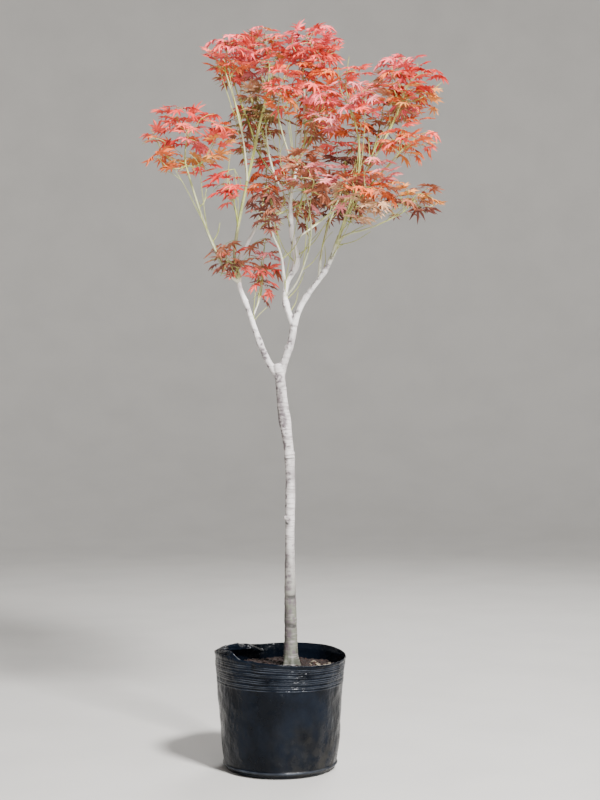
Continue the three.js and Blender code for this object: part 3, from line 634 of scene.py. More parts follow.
def nearest_wood():
    """A tree of points along all limbs, with the limb's radius and age at each"""
    points, facts = [], []
    for limb in LIMBS:
        path = grow_limbs()[limb.name]
        count = max(2, round(limb.length / WOOD_STEP))
        for k in range(count + 1):
            points.append(point_on(path, k / count))
            facts.append((along(limb.radius, k / count), along(limb.age, k / count)))
    tree = KDTree(len(points))
    for k, point in enumerate(points):
        tree.insert(point, k)
    tree.balance()
    return tree, facts


def room_reach(mass, direction):
    """How far a mass's egg-shaped room reaches from its centre in a direction"""
    return 1 / Vector(c / r for c, r in zip(direction, mass.reach)).length


def walls(mass):
    """The planes that part a mass from its neighbours"""
    planes = []
    for other in MASSES:
        between = Vector(other.centre) - Vector(mass.centre)
        if other is mass:
            continue
        direction = between.normalized()
        own, theirs = room_reach(mass, direction), room_reach(other, direction)
        if own + theirs > between.length:
            share = own / (own + theirs)
            planes.append((Vector(mass.centre) + between * share, direction))
    return planes


def bent_path(start, bend, end):
    """Points on a curve that leaves its start towards a bend and then turns to its end"""
    steps = [k / STEM_PARTS for k in range(STEM_PARTS + 1)]
    return [start.lerp(bend, t).lerp(bend.lerp(end, t), t) for t in steps]


def arched(start, end, upward, at, arch):
    """A path whose middle point lies that far along and is lifted by a share of the path's length"""
    middle = start.lerp(end, at) + upward * (arch * (end - start).length)
    return [start, middle, end]


Room = namedtuple("Room", "mass planes wood")


def inside_room(room, point, margin, past):
    """Whether a point lies a margin inside a mass's room and not too far past a neighbour's plane"""
    offset = point - Vector(room.mass.centre)
    egg = Vector(c / (r - margin) for c, r in zip(offset, room.mass.reach)).length
    return egg <= 1 and all((point - place).dot(direction) < past for place, direction in room.planes)


def inside_box(point):
    """Whether a point lies in the frame's box or hardly past it"""
    low, high = FRAME_BOX
    return all(a / MM - spare < c < b / MM + spare for a, c, b, spare in zip(low, point, high, BOX_SPARE))


def in_clearing(point):
    return any(all(a < c < b for a, c, b in zip(low, point, high)) for low, high in CLEARINGS)


def clear_of_wood(wood, point, clearance):
    tree, facts = wood
    _, k, distance = tree.find(point)
    return distance > facts[k][0] + clearance


def stem_path(mass):
    """The stem runs on from the bough's tip through the middle of the room"""
    bough = grow_limbs()[mass.on]
    start, direction = bough[-1], direction_on(bough, 1)
    centre = Vector(mass.centre)
    far = (centre - start).normalized()
    lead = start + direction * STEM_LEAD
    bend = start + direction * ((centre - start).length * STEM_BEND)
    end = centre + far * (room_reach(mass, far) * STEM_PAST_CENTRE)
    return [start] + bent_path(lead, bend, end)


Spray = namedtuple("Spray", "palm heading normal")
Leaf = namedtuple("Leaf", "node palm heading normal size tint droop")


def astray(reach, draw):
    """A random level offset of up to half that reach along X and Y"""
    return Vector((draw() - 0.5, draw() - 0.5, 0)) * reach


def square_to(direction, other):
    """The part of a direction that stands square to another one"""
    return (direction - other * direction.dot(other)).normalized()


def hang_spray(palm, heart, draw):
    """A spray turns its tip outwards and hangs a little, with its upper face to the sky"""
    hang = between(SPRAY_HANG, draw())
    tip = (level(palm - heart).normalized() + astray(SPRAY_STRAY, draw) - UP * hang).normalized()
    return Spray(palm, tip, square_to(UP + astray(LEAF_ROLL, draw), tip))


def spot_in(mass, draw):
    """A random place in a mass's room, drawn towards level tiers"""
    height, turn, reach = 2 * draw() - 1, 2 * math.pi * draw(), draw() ** (1 / 3)
    ring = math.sqrt(1 - height * height)
    outward = Vector((ring * math.cos(turn), ring * math.sin(turn), FLATNESS * height))
    offset = outward * reach * Vector(mass.reach)
    tier = round(offset.z / TIER_STEP) * TIER_STEP
    offset.z += (tier - offset.z) * TIER_PULL
    return Vector(mass.centre) + offset


def spread_sprays(room, heart, count, draw):
    """Sprays in even places: of a few random places each takes the furthest from the others"""
    sprays = []
    for _ in range(count):
        options = []
        for _ in range(SPOT_TRIES):
            spray = hang_spray(spot_in(room.mass, draw), heart, draw)
            near = min([(other.palm - spray.palm).length for other in sprays] + [MAX_SPREAD])
            roomy = inside_room(room, spray.palm, SPOT_MARGIN, 0)
            if roomy and clear_of_wood(room.wood, spray.palm, SPOT_MARGIN / 2):
                options.append((near, spray))
        if options:
            sprays.append(max(options, key=lambda option: option[0])[1])
    return sprays


Shoot = namedtuple("Shoot", "path radius")
Joint = namedtuple("Joint", "shoot point direction radius at_end")


def joints_of(shoots):
    """Every place on the shoots that a twiglet or a side shoot can leave from, but for the stem's lead"""
    joints = []
    for n, shoot in enumerate(shoots):
        for k, (start, end) in enumerate(zip(shoot.path, shoot.path[1:])):
            for t in JOINT_PLACES:
                if t == 1 or n + k > 0:
                    share = (k + t) / (len(shoot.path) - 1)
                    radius = shoot.radius + (TWIG_TIP_RADIUS - shoot.radius) * share
                    last = t == 1 and k == len(shoot.path) - 2
                    joints.append(Joint(shoot, start.lerp(end, t), (end - start).normalized(), radius, last))
    return joints


def twiglet_foot(spray, joints):
    """The nearest joint that a spray's twiglet can reach without doubling back"""
    feet = []
    for joint in joints:
        back = joint.point - spray.palm
        if STALK_LEAST < back.length < STALK_REACH and back.dot(spray.heading) < STALK_BACK * back.length:
            feet.append((back.length, joint.point))
    return min(feet, key=lambda foot: foot[0])[1] if feet else None


def grow_twig(end, shoots, wood):
    """A new twig goes forward from the nearest joint. From a shoot's end it carries that shoot on"""
    options = []
    for joint in joints_of(shoots):
        reach = end - joint.point
        turning = TURN_COST * max(0, EASY_TURN - reach.normalized().dot(joint.direction))
        options.append((reach.length + turning + (0 if joint.at_end else SIDE_SHOOT_COST), joint))
    options.sort(key=lambda option: option[0])
    for _, joint in options:
        course = [joint.point.lerp(end, t) for t in FREE_PLACES]
        free = all(clear_of_wood(wood, point, LIMB_CLEARANCE) for point in course)
        if free and (end - joint.point).length > TWIG_LEAST:
            if joint.at_end:
                joint.shoot.path.append(end)
            else:
                shoots.append(Shoot([joint.point, end], max(TWIG_SHARE * joint.radius, TWIG_TIP_RADIUS)))
            return True
    return False


def lobe_tips(leaf):
    """The points of a leaf that have to stay in its room"""
    side = leaf.normal.cross(leaf.heading)
    tips = [leaf.palm]
    for angle, share in LOBES:
        for turn in (math.radians(angle), -math.radians(angle)):
            reach = leaf.heading * math.cos(turn) + side * math.sin(turn) - leaf.normal * (leaf.droop * share)
            tips.append(leaf.palm + reach * (share * leaf.size))
    return tips


def leaf_fits(room, leaf, leaves):
    """Whether a leaf stays in its room, out of the clearings and clear of the wood and of other leaves"""
    tips = lobe_tips(leaf)
    return (
        all(inside_room(room, tip, SPACE_MARGIN, LEAF_MINGLE) and inside_box(tip) for tip in tips)
        and not any(in_clearing(tip) for tip in tips)
        and all(clear_of_wood(room.wood, tip, LIMB_CLEARANCE) for tip in tips)
        and all((other.palm - leaf.palm).length > LEAF_CLEARANCE for other in leaves)
    )


def spray_tint(mass, spray, draw):
    """A tint by the spray's height in its mass, darker low and paler high partly as painted shade and light,
    or now and then any of the mass's tints
    """
    height = (spray.palm.z - mass.centre[2]) / mass.reach[2]
    # Low sprays take the darker tints and high sprays the paler ones, partly as painted shade and painted
    # light
    place = min(max(0.5 + 0.5 * height + TINT_BLUR * (draw() - 0.5), 0), LAST_TINT)
    place = draw() if draw() < STRAY_TINTS else place
    return mass.tints[int(place * len(mass.tints))]


def turned_leaf(spray, node, forward, turn, draw):
    """Palm, heading and normal of a leaf that leaves its node at a turn from the twiglet"""
    angle = math.radians(turn + LEAF_TURN_STRAY * (draw() - 0.5))
    side = spray.normal.cross(forward).normalized()
    out = forward * math.cos(angle) + side * math.sin(angle) + spray.normal * LEAF_LIFT * draw()
    palm = node + out.normalized() * between(PETIOLE, draw())
    tip = (out - UP * between(LEAF_HANG, draw())).normalized()
    return palm, tip, square_to(spray.normal + UP * LEAF_TO_SKY + astray(LEAF_ROLL, draw), tip)


def spray_leaves(room, spray, path, leaf_length, leaves, draw):
    """Opposite pairs of leaves on a twiglet and a pair at its tip, each on its stalk"""
    tint = spray_tint(room.mass, spray, draw)
    grown = []
    for at, turn, share in SPRAY_LEAVES:
        node = point_on(path, at)
        palm, tip, normal = turned_leaf(spray, node, direction_on(path, at), turn, draw)
        size = leaf_length * share * (LEAST_LEAF + LEAF_GROWTH * draw())
        droop = LEAF_DROOPS[int(len(LEAF_DROOPS) * draw())]
        for shrink in LEAF_SHRINK:
            leaf = Leaf(node, palm, tip, normal, size * shrink, tint, droop)
            if leaf_fits(room, leaf, leaves + grown):
                grown.append(leaf)
                break
    return grown


def long_feet(bough, draw):
    """Where long shoots leave the bough and, where that one is short, the limb it grows on"""
    feet = [(bough.name, between(LONG_FOOT, draw())) for _ in range(LONG_SHOOTS)]
    if bough.length < LONG_BOUGH:
        feet.append((bough.on, bough.at * between((PARENT_FOOT, 1), draw())))
    return feet


def long_shoot(path, at, twiglets, draw):
    """A slim, slightly kinked shoot from a limb's path up to the foot of a twiglet"""
    foot, direction = point_on(path, at), direction_on(path, at)
    ends = [twiglets[int(len(twiglets) * draw())][0] for _ in range(LONG_CHOICES)]
    end = max(ends, key=lambda place: (place - path[-1]).xy.length)
    reach = (end - foot).length
    bend = foot + direction * (LONG_BEND * reach) + astray(2 * LONG_STRAY * reach, draw)
    radius = between(LONG_RADIUS, draw())
    kinks = [0, *(LONG_KINK * (draw() - 0.5) for _ in range(STEM_PARTS - 1)), 0]
    aside = direction.cross(end - foot).normalized()
    return Shoot([point + aside * kink for point, kink in zip(bent_path(foot, bend, end), kinks)], radius)


def side_shoots(path, draw):
    """Short bare shoots at the nodes of a long one"""
    shoots = []
    for node, after in zip(path[1:], path[2:]):
        forward = (after - node).normalized()
        aside = Vector((draw() - 0.5, draw() - 0.5, SIDE_RISE * draw())).normalized()
        tip = node + (forward + aside).normalized() * between(LONG_SIDE_LENGTH, draw())
        if draw() < LONG_SIDE and inside_box(tip):
            shoots.append(Shoot([node, node.lerp(tip, 0.5) + UP * SIDE_ARCH, tip], TWIG_TIP_RADIUS))
    return shoots


def long_shoots(bough, twiglets, draw):
    """Slim shoots that rise through a bough's mass and end where a twiglet starts, with their side shoots"""
    shoots = []
    for name, at in long_feet(bough, draw):
        shoot = long_shoot(grow_limbs()[name], at, twiglets, draw)
        shoots += [shoot, *side_shoots(shoot.path, draw)]
    return shoots


def grow_mass(mass, wood, leaf_length, fullness):
    """Shoots, twiglets and leaves of one mass. Each spray joins a shoot in reach, or a new twig carries it"""
    draw = random.Random(mass.seed).random
    path = stem_path(mass)
    bough = limb_named(mass.on)
    room = Room(mass, walls(mass), wood)
    shoots, twiglets, leaves = [Shoot(path, bough.radius[-1])], [], []
    count = round(mass.leaves * fullness * OPENNESS.get(mass.name, 1))
    sprays = spread_sprays(room, path[2], count, draw)
    sprays.sort(key=lambda spray: (spray.palm - path[0]).length)
    for spray in sprays:
        foot = twiglet_foot(spray, joints_of(shoots))
        if foot is None:
            end = spray.palm - spray.heading * SPRAY_BACK
            foot = end if grow_twig(end, shoots, wood) else None
        if foot is not None:
            twiglet = arched(foot, spray.palm, spray.normal, TWIGLET_MIDDLE, TWIGLET_ARCH)
            grown = spray_leaves(room, spray, twiglet, leaf_length, leaves, draw)
            leaves += grown
            if grown:
                twiglets.append(twiglet)
    return shoots + long_shoots(bough, twiglets, draw), twiglets, leaves


@functools.cache
def grow_crown(leaf_length, fullness):
    """All shoots, twiglets and leaves of the tree"""
    wood = nearest_wood()
    shoots, twiglets, leaves = [], [], []
    for mass in MASSES:
        for grown, kept in zip(grow_mass(mass, wood, leaf_length, fullness), (shoots, twiglets, leaves)):
            kept.extend(grown)
    return shoots, twiglets, leaves


def flowing(path, parts=CURVE_PARTS):
    """A smooth path through the given points"""
    ends = [path[0] * 2 - path[1], *path, path[-1] * 2 - path[-2]]
    smooth = []
    for a, b, c, d in zip(ends, ends[1:], ends[2:], ends[3:]):
        for k in range(parts):
            t = k / parts
            smooth.append(b + (c - a) * (t / 2) + (a * 2 - b * 5 + c * 4 - d) * (t * t / 2)
                          + (b * 3 - a - c * 3 + d) * (t ** 3 / 2))
    return smooth + [path[-1]]


def show(name, data):
    piece = bpy.data.objects.new(name, data)
    bpy.context.scene.collection.objects.link(piece)
    return piece


def meshed(piece):
    """The piece as it shows, made a plain mesh"""
    graph = bpy.context.evaluated_depsgraph_get()
    mesh = bpy.data.meshes.new_from_object(piece.evaluated_get(graph), depsgraph=graph)
    name = piece.name
    bpy.data.objects.remove(piece)
    mesh.name = name
    return show(name, mesh)


def rods(name, strands, roundness):
    """One mesh of round rods. A strand is (points, radii) in millimetres"""
    curve = bpy.data.curves.new(name, "CURVE")
    curve.dimensions, curve.fill_mode = "3D", "FULL"
    curve.bevel_depth, curve.bevel_resolution, curve.use_fill_caps = 1, roundness, True
    for points, radii in strands:
        spline = curve.splines.new("POLY")
        spline.points.add(len(points) - 1)
        for made, point, radius in zip(spline.points, points, radii):
            made.co = (*point * MM, 1)
            made.radius = radius * MM
    return meshed(show(name, curve))


def tapered(path, foot_radius, tip_radius, parts=CURVE_PARTS):
    """A smooth strand that thins evenly from its foot to its tip"""
    smooth = flowing(path, parts)
    return smooth, np.linspace(foot_radius, tip_radius, len(smooth))


def settled(name, bm):
    """The piece that a finished bmesh becomes"""
    mesh = bpy.data.meshes.new(name)
    bm.to_mesh(mesh)
    bm.free()
    return show(name, mesh)


def turned(profile, steps, unit=MM, start=0.0, angle=2 * math.pi):
    """A bmesh of a (radius, height) profile swept round the upright axis, and closed by a full turn"""
    bm = bmesh.new()
    verts = [bm.verts.new((radius * unit, 0, height * unit)) for radius, height in profile]
    edges = [bm.edges.new(pair) for pair in zip(verts, verts[1:])]
    bmesh.ops.rotate(bm, verts=verts, cent=(0, 0, 0), matrix=Matrix.Rotation(start, 3, "Z"))
    closed = angle == 2 * math.pi
    bmesh.ops.spin(
        bm, geom=verts + edges, cent=(0, 0, 0), axis=(0, 0, 1), angle=angle, steps=steps, use_merge=closed)
    if closed:
        bmesh.ops.remove_doubles(bm, verts=bm.verts, dist=MERGE_DISTANCE)
    return bm


def points_and_faces(bm):
    """A bmesh's points and the corners of its faces, after which it is freed"""
    points = np.array([vert.co[:] for vert in bm.verts])
    faces = np.array([[vert.index for vert in face.verts] for face in bm.faces])
    bm.free()
    return points, faces


def copies(name, shapes):
    """One piece of many small shapes, each given as its points in millimetres and its faces"""
    points, faces, start = [], [], 0
    for places, sides in shapes:
        points.append(places * MM)
        faces.append(sides + start)
        start += len(places)
    mesh = bpy.data.meshes.new(name)
    mesh.from_pydata(np.concatenate(points).tolist(), [], np.concatenate(faces).tolist())
    return show(name, mesh)


def is_thick(limb):
    return limb.radius[0] > THICK_RADIUS


def swelling(limb, t):
    """How much thicker than even a limb is at a place, by its collar or flare, its nodes and its knots"""
    run = t * limb.length
    collar = COLLAR_SWELL * math.exp(-run / COLLAR_LENGTH) if limb.on else 0
    flare = 0 if limb.on else FLARE_SWELL * max(0, 1 - run / FLARE_HEIGHT) ** 2
    from_node = (run + NODE_STEP / 2) % NODE_STEP - NODE_STEP / 2
    node = NODE_SWELL * math.exp(-(from_node / NODE_WIDTH) ** 2) * (OLD_NODE_SHARE if is_thick(limb) else 1)
    knots = sum(share * math.exp(-((t - at) * limb.length / half) ** 2)
                for name, at, share, half in KNOTS if name == limb.name)
    return 1 + collar + flare + node + knots


def limb_strand(limb):
    """A limb's fine path with the swelling at its foot and at its nodes"""
    path, count = grow_limbs()[limb.name], max(LEAST_PARTS, round(limb.length / WOOD_STEP))
    slim = 1 if is_thick(limb) else YOUNG_SLIM
    steps = [k / count for k in range(count + 1)]
    radii = [slim * along(limb.radius, t) * swelling(limb, t) for t in steps]
    return [point_on(path, t) for t in steps], radii


def root_strands():
    """The roots that the trunk's foot swells into, dying out up the flare"""
    strands = []
    for k in range(ROOTS):
        turn = 2 * math.pi * (k + ROOT_STRAY * math.sin(ROOT_STRAY_STEP * k)) / ROOTS
        out = Vector((math.cos(turn), math.sin(turn), 0))
        points = [TRUNK_FOOT + out * reach + UP * height for height, reach, _ in ROOT_COURSE]
        strands.append((points, [radius for _, _, radius in ROOT_COURSE]))
    return strands


def stub_strands():
    """The pruned stubs, each from the middle of its limb out past the bark"""
    strands = []
    for name, at, lean, away, length, radius in STUBS:
        foot = point_on(grow_limbs()[name], at)
        tip = foot + heading(lean, away) * (along(limb_named(name).radius, at) + length)
        points = [foot.lerp(tip, t) for t, _ in STUB_TAPER]
        strands.append((points, [radius * share for _, share in STUB_TAPER]))
    return strands


def bark_height(point, relief):
    """Relief of old bark in millimetres: soft lumps, fine lengthwise cracks and faint rings round the limb"""
    lumps = LUMP_SHARE * noise.noise(point * LUMP_GRAIN)
    cracks = CRACK_SHARE * abs(noise.noise(point * CRACK_GRAIN))
    rings = BAND_SHARE * noise.noise(point * BAND_GRAIN)
    return relief * (lumps - cracks + rings)


def roughen(piece, relief):
    """Smooths the crotches of a remeshed piece, then raises the bark's relief"""
    bm = bmesh.new()
    bm.from_mesh(piece.data)
    for _ in range(SMOOTH_ROUNDS):
        bmesh.ops.smooth_vert(
            bm, verts=bm.verts, factor=SMOOTH_SHARE, use_axis_x=True, use_axis_y=True, use_axis_z=True)
    bm.normal_update()
    heights = [bark_height(vert.co / MM, relief) * MM for vert in bm.verts]
    for vert, height in zip(bm.verts, heights):
        vert.co += vert.normal * height
    bm.to_mesh(piece.data)
    bm.free()


def store(piece, name, values):
    """Writes one value for each point of a piece"""
    piece.data.attributes.new(name, "FLOAT", "POINT").data.foreach_set("value", values)


def store_age(piece):
    """Writes the age of the nearest limb on every point of a piece of wood"""
    tree, facts = nearest_wood()
    store(piece, "age", [facts[tree.find(vert.co / MM)[1]][1] for vert in piece.data.vertices])


def scar_rings():
    """(place, direction, radius, half height, middle of its dark part, half width, darkness) of each scar"""
    rings = []
    for name, at, half, turn, width, dark in SCARS:
        path = grow_limbs()[name]
        radius = along(limb_named(name).radius, at)
        angles = math.radians(turn), math.radians(width)
        rings.append((point_on(path, at), direction_on(path, at), radius, half, *angles, dark))
    return rings


def stain_spots():
    """(place, half width, half length) of each stain, on the bark"""
    draw = random.Random(STAIN_SEED).random
    spots = []
    for name, first, last, count, middle, stray in STAINS:
        path, radii = grow_limbs()[name], limb_named(name).radius
        for _ in range(count):
            at, turn = between((first, last), draw()), math.radians(middle + stray * (2 * draw() - 1))
            out = Vector((math.cos(turn), math.sin(turn), 0))
            half = between(STAIN_HALF, draw() ** 2)
            length = half * between(STAIN_LENGTH, draw())
            spots.append((point_on(path, at) + out * along(radii, at), half, length))
    return spots


def scar_relief(places):
    """How far the scars lift each place, in a dip between two low lips, and how scarred it is"""
    lift, scarred = np.zeros(len(places)), np.zeros(len(places))
    for place, direction, radius, half, middle, width, dark in scar_rings():
        offset = places - np.array(place)
        run = offset @ np.array(direction)
        near = np.linalg.norm(offset, axis=1) < radius * SCAR_REACH + half
        turn = np.arctan2(offset[:, 1], offset[:, 0])
        wavy = run + half * SCAR_WAVE * np.sin(2 * turn + place.z)
        ring = np.where(near, np.exp(-((wavy / half) ** 2)), 0)
        lips = np.where(near, np.exp(-((np.abs(wavy) / half - SCAR_LIP_PLACE) ** 2)), 0)
        across = (turn - middle + math.pi) % (2 * math.pi) - math.pi
        scarred = np.maximum(scarred, dark * ring * np.exp(-((across / width) ** 2)))
        lift += SCAR_LIPS * lips - SCAR_DEPTH * ring
    return lift, scarred


def stain_strength(places):
    """How stained each place is"""
    stained = np.zeros(len(places))
    for place, half, length in stain_spots():
        offset = places - np.array(place)
        spread = (np.hypot(offset[:, 0], offset[:, 1]) / half) ** 2 + (offset[:, 2] / length) ** 2
        stained = np.maximum(stained, np.exp(-spread * spread / STAIN_EDGE))
    return stained


def cut_scars(piece):
    """Sinks the scars into the old wood, and writes how scarred and stained every point is"""
    mesh = piece.data
    places = np.empty(len(mesh.vertices) * 3)
    mesh.vertices.foreach_get("co", places)
    places = places.reshape(-1, 3) / MM
    normals = np.empty(len(mesh.vertices) * 3)
    mesh.vertex_normals.foreach_get("vector", normals)
    lift, scarred = scar_relief(places)
    stained = stain_strength(places)
    places += normals.reshape(-1, 3) * lift[:, None]
    mesh.vertices.foreach_set("co", (places * MM).ravel())
    store(piece, "scar", scarred)
    store(piece, "stain", stained)
    mesh.update()


def old_wood(limbs, relief):
    """Trunk, leaders and thick limbs as one grown piece, with roots, stubs, bark and scars"""
    strands = [limb_strand(limb) for limb in limbs] + root_strands() + stub_strands()
    rough = rods("old_wood", strands, WOOD_ROUNDNESS)
    remesh = rough.modifiers.new("Remesh", "REMESH")
    remesh.mode, remesh.voxel_size = "VOXEL", VOXEL * MM
    piece = meshed(rough)
    roughen(piece, relief)
    cut_scars(piece)
    return piece


def shade_smooth(piece):
    piece.data.polygons.foreach_set("use_smooth", [True] * len(piece.data.polygons))
    piece.data.update()


def dress(piece, material, replaced=()):
    piece.data.materials.clear()
    piece.data.materials.append(material)
    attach(piece, "root")
    if replaced:
        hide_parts(*replaced)


def add_node(tree, kind, inputs=None, **settings):
    """A node with its settings, and its inputs set to values or linked to sockets"""
    made = tree.nodes.new(kind)
    for key, value in settings.items():
        setattr(made, key, value)
    for key, value in (inputs or {}).items():
        if isinstance(value, bpy.types.NodeSocket):
            tree.links.new(value, made.inputs[key])
        else:
            made.inputs[key].default_value = value
    return made


def mix_colours(tree, mask, low, high):
    return add_node(tree, "ShaderNodeMix", {0: mask, 6: low, 7: high}, data_type="RGBA").outputs[2]


def product(tree, first, second):
    return add_node(tree, "ShaderNodeMath", {0: first, 1: second}, operation="MULTIPLY").outputs[0]


def stored(tree, name):
    """The value that a piece holds under a name, as written on its points"""
    return add_node(tree, "ShaderNodeAttribute", attribute_name=name).outputs["Fac"]


def ramp(tree, value, first, last, low=0.0, high=1.0):
    """Runs from low to high as a value goes from first to last, and stays level outside them"""
    ends = {"From Min": first, "From Max": last, "To Min": low, "To Max": high}
    return add_node(tree, "ShaderNodeMapRange", {"Value": value, **ends}).outputs[0]


def place_on_piece(tree):
    """The X, Y and Z of a place on the piece, in metres"""
    place = add_node(tree, "ShaderNodeTexCoord").outputs["Object"]
    return add_node(tree, "ShaderNodeSeparateXYZ", {"Vector": place}).outputs


def new_group(name, inputs, outputs):
    """An empty shader group. Inputs are (name, kind, default) and outputs (name, kind)"""
    tree = bpy.data.node_groups.new(name, "ShaderNodeTree")
    for label, kind, value in inputs:
        socket = tree.interface.new_socket(label, in_out="INPUT", socket_type=f"NodeSocket{kind}")
        socket.default_value = value
    for label, kind in outputs:
        tree.interface.new_socket(label, in_out="OUTPUT", socket_type=f"NodeSocket{kind}")
    return tree, tree.nodes.new("NodeGroupInput").outputs, tree.nodes.new("NodeGroupOutput").inputs


def stretched_place(tree, stretch):
    """The place on the piece, with its height scaled to draw a pattern out"""
    place = add_node(tree, "ShaderNodeTexCoord").outputs["Object"]
    scale = add_node(tree, "ShaderNodeCombineXYZ", {"X": 1.0, "Y": 1.0, "Z": stretch}).outputs[0]
    return add_node(tree, "ShaderNodeVectorMath", {0: place, 1: scale}, operation="MULTIPLY").outputs[0]


@functools.cache
def mottle_group():
    """Patches of one colour in another, with the mask they follow"""
    tree, given, made = new_group(
        "Mottle",
        (("Ground", "Color", (0.5, 0.5, 0.5, 1)), ("Patches", "Color", (0.3, 0.3, 0.3, 1)),
         ("Scale", "Float", 20), ("Stretch", "Float", 1), ("Amount", "Float", 0.5), ("Edge", "Float", 0.15)),
        (("Colour", "Color"), ("Mask", "Float")),
    )
    place = stretched_place(tree, given["Stretch"])
    cloud = add_node(tree, "ShaderNodeTexNoise", {"Vector": place, "Scale": given["Scale"], "Detail": 5.0})
    start = add_node(tree, "ShaderNodeMath", {0: 0.8, 1: given["Amount"]}, operation="SUBTRACT").outputs[0]
    end = add_node(tree, "ShaderNodeMath", {0: start, 1: given["Edge"]}, operation="ADD").outputs[0]
    mask = ramp(tree, cloud.outputs[0], start, end)
    tree.links.new(mask, made["Mask"])
    tree.links.new(mix_colours(tree, mask, given["Ground"], given["Patches"]), made["Colour"])
    return tree


@functools.cache
def relief_group():
    """Height of a fine uneven surface"""
    tree, given, made = new_group(
        "Relief", (("Scale", "Float", 200), ("Stretch", "Float", 1)), (("Height", "Float"),),
    )
    place = stretched_place(tree, given["Stretch"])
    fine = add_node(tree, "ShaderNodeTexNoise", {"Vector": place, "Scale": given["Scale"], "Detail": 6.0})
    tree.links.new(fine.outputs[0], made["Height"])
    return tree


def new_material(name, roughness, **constants):
    """A material whose shader has its plain values set. Returns it with its tree and shader"""
    material = bpy.data.materials.new(name)
    material.use_nodes = True
    tree = material.node_tree
    shader = tree.nodes["Principled BSDF"]
    shader.inputs["Roughness"].default_value = roughness
    for label, value in constants.items():
        shader.inputs[label.replace("_", " ")].default_value = value
    return material, tree, shader


def mottle(tree, ground, patches, scale, amount, edge, stretch=1.0):
    """Patches of one colour in another, as a node with the outputs Colour and Mask"""
    pattern = {"Scale": scale, "Stretch": stretch, "Amount": amount, "Edge": edge}
    inputs = {"Ground": ground, "Patches": patches, **pattern}
    return add_node(tree, "ShaderNodeGroup", inputs, node_tree=mottle_group())


def patch_mask(tree, **pattern):
    return mottle(tree, BLACK, WHITE, **pattern).outputs["Mask"]


def add_relief(tree, shader, scale, stretch, distance):
    """A fine uneven surface. Distance is its depth in millimetres"""
    fine = add_node(tree, "ShaderNodeGroup", {"Scale": scale, "Stretch": stretch}, node_tree=relief_group())
    bump = add_node(tree, "ShaderNodeBump", {"Height": fine.outputs["Height"], "Distance": distance * MM})
    tree.links.new(bump.outputs[0], shader.inputs["Normal"])


def opaque(colour, shade=1.0):
    return (*(shade * c for c in colour[:3]), 1)


def mottled_material(name, roughness, ground, patches, pattern, relief=None, **constants):
    """A material of one colour with patches of another and, where it is given, a fine relief"""
    material, tree, shader = new_material(name, roughness, **constants)
    tone = mottle(tree, ground, patches, **pattern)
    tree.links.new(tone.outputs["Colour"], shader.inputs["Base Color"])
    if relief:
        add_relief(tree, shader, **relief)
    return material


def old_bark(tree, settings):
    """Colour of old bark: clean above the fork and paler there partly as painted light, grey patches and
    dashes below it, and a greenish foot
    """
    pale = mottle(tree, opaque(settings.old_colour), opaque(settings.shade_colour),
                  scale=30, stretch=0.5, amount=0.37, edge=0.3)
    # Clean upper bark, paler partly as painted light on the stems above the fork
    clean = mottle(tree, opaque(settings.clean_lit_colour), opaque(settings.old_colour),
                   scale=30, stretch=0.5, amount=0.33, edge=0.2)
    foot = mottle(tree, opaque(settings.moss_colour), opaque(settings.moss_colour, 0.5),
                  scale=34, stretch=0.6, amount=0.4, edge=0.24)
    height = place_on_piece(tree)["Z"]
    high = ramp(tree, height, *in_metres(CLEAN_LIT_BARK))
    low = ramp(tree, height, *in_metres(MOSSY_BARK))
    lower = mix_colours(tree, low, pale.outputs["Colour"], foot.outputs["Colour"])
    dashes = mottle(tree, lower, opaque(settings.dash_colour), scale=26, stretch=9.0, amount=0.3, edge=0.16)
    return mix_colours(tree, high, dashes.outputs["Colour"], clean.outputs["Colour"])


def bark_material(settings):
    """Pale grey old bark with patches, stains and scars, which turns yellow-green as the wood gets younger"""
    material, tree, shader = new_material("Bark", roughness=0.62)
    broken = patch_mask(tree, scale=85, stretch=1.5, amount=0.46, edge=0.22)
    stain = product(tree, stored(tree, "stain"), broken)
    stained = mix_colours(tree, stain, old_bark(tree, settings), opaque(settings.stain_colour))
    scarred = mix_colours(tree, stored(tree, "scar"), stained, opaque(settings.crack_colour))
    young = mottle(tree, opaque(settings.young_colour), opaque(settings.pale_colour),
                   scale=45, stretch=0.3, amount=0.4, edge=0.2)
    old = ramp(tree, stored(tree, "age"), *OLD_AGE)
    tree.links.new(mix_colours(tree, old, young.outputs["Colour"], scarred), shader.inputs["Base Color"])
    add_relief(tree, shader, scale=130, stretch=4.0, distance=1.4)
    return material


def twig_material(settings):
    """Yellow-green young bark with paler streaks"""
    pattern = {"scale": 60, "stretch": 0.5, "amount": 0.45, "edge": 0.2}
    relief = {"scale": 500, "stretch": 0.4, "distance": 0.3}
    return mottled_material(
        "Twig", 0.55, opaque(settings.young_colour), opaque(settings.pale_colour), pattern, relief)


def stalk_material(settings):
    """Red leaf stalks with darker stretches"""
    pattern = {"scale": 40, "amount": 0.4, "edge": 0.2}
    return mottled_material("Stalk", 0.5, opaque(settings.stalk), opaque(settings.stalk, 0.6), pattern)


def leaf_material(tint, colour):
    """A leaf tint with faint darker flecks and a fine relief"""
    pattern = {"scale": 70, "amount": 0.35, "edge": 0.25}
    relief = {"scale": 260, "stretch": 1.0, "distance": 0.4}
    return mottled_material(
        f"{tint.capitalize()} leaf", 0.68, opaque(colour), opaque(colour, 0.72), pattern, relief,
        Specular_IOR_Level=0.3)


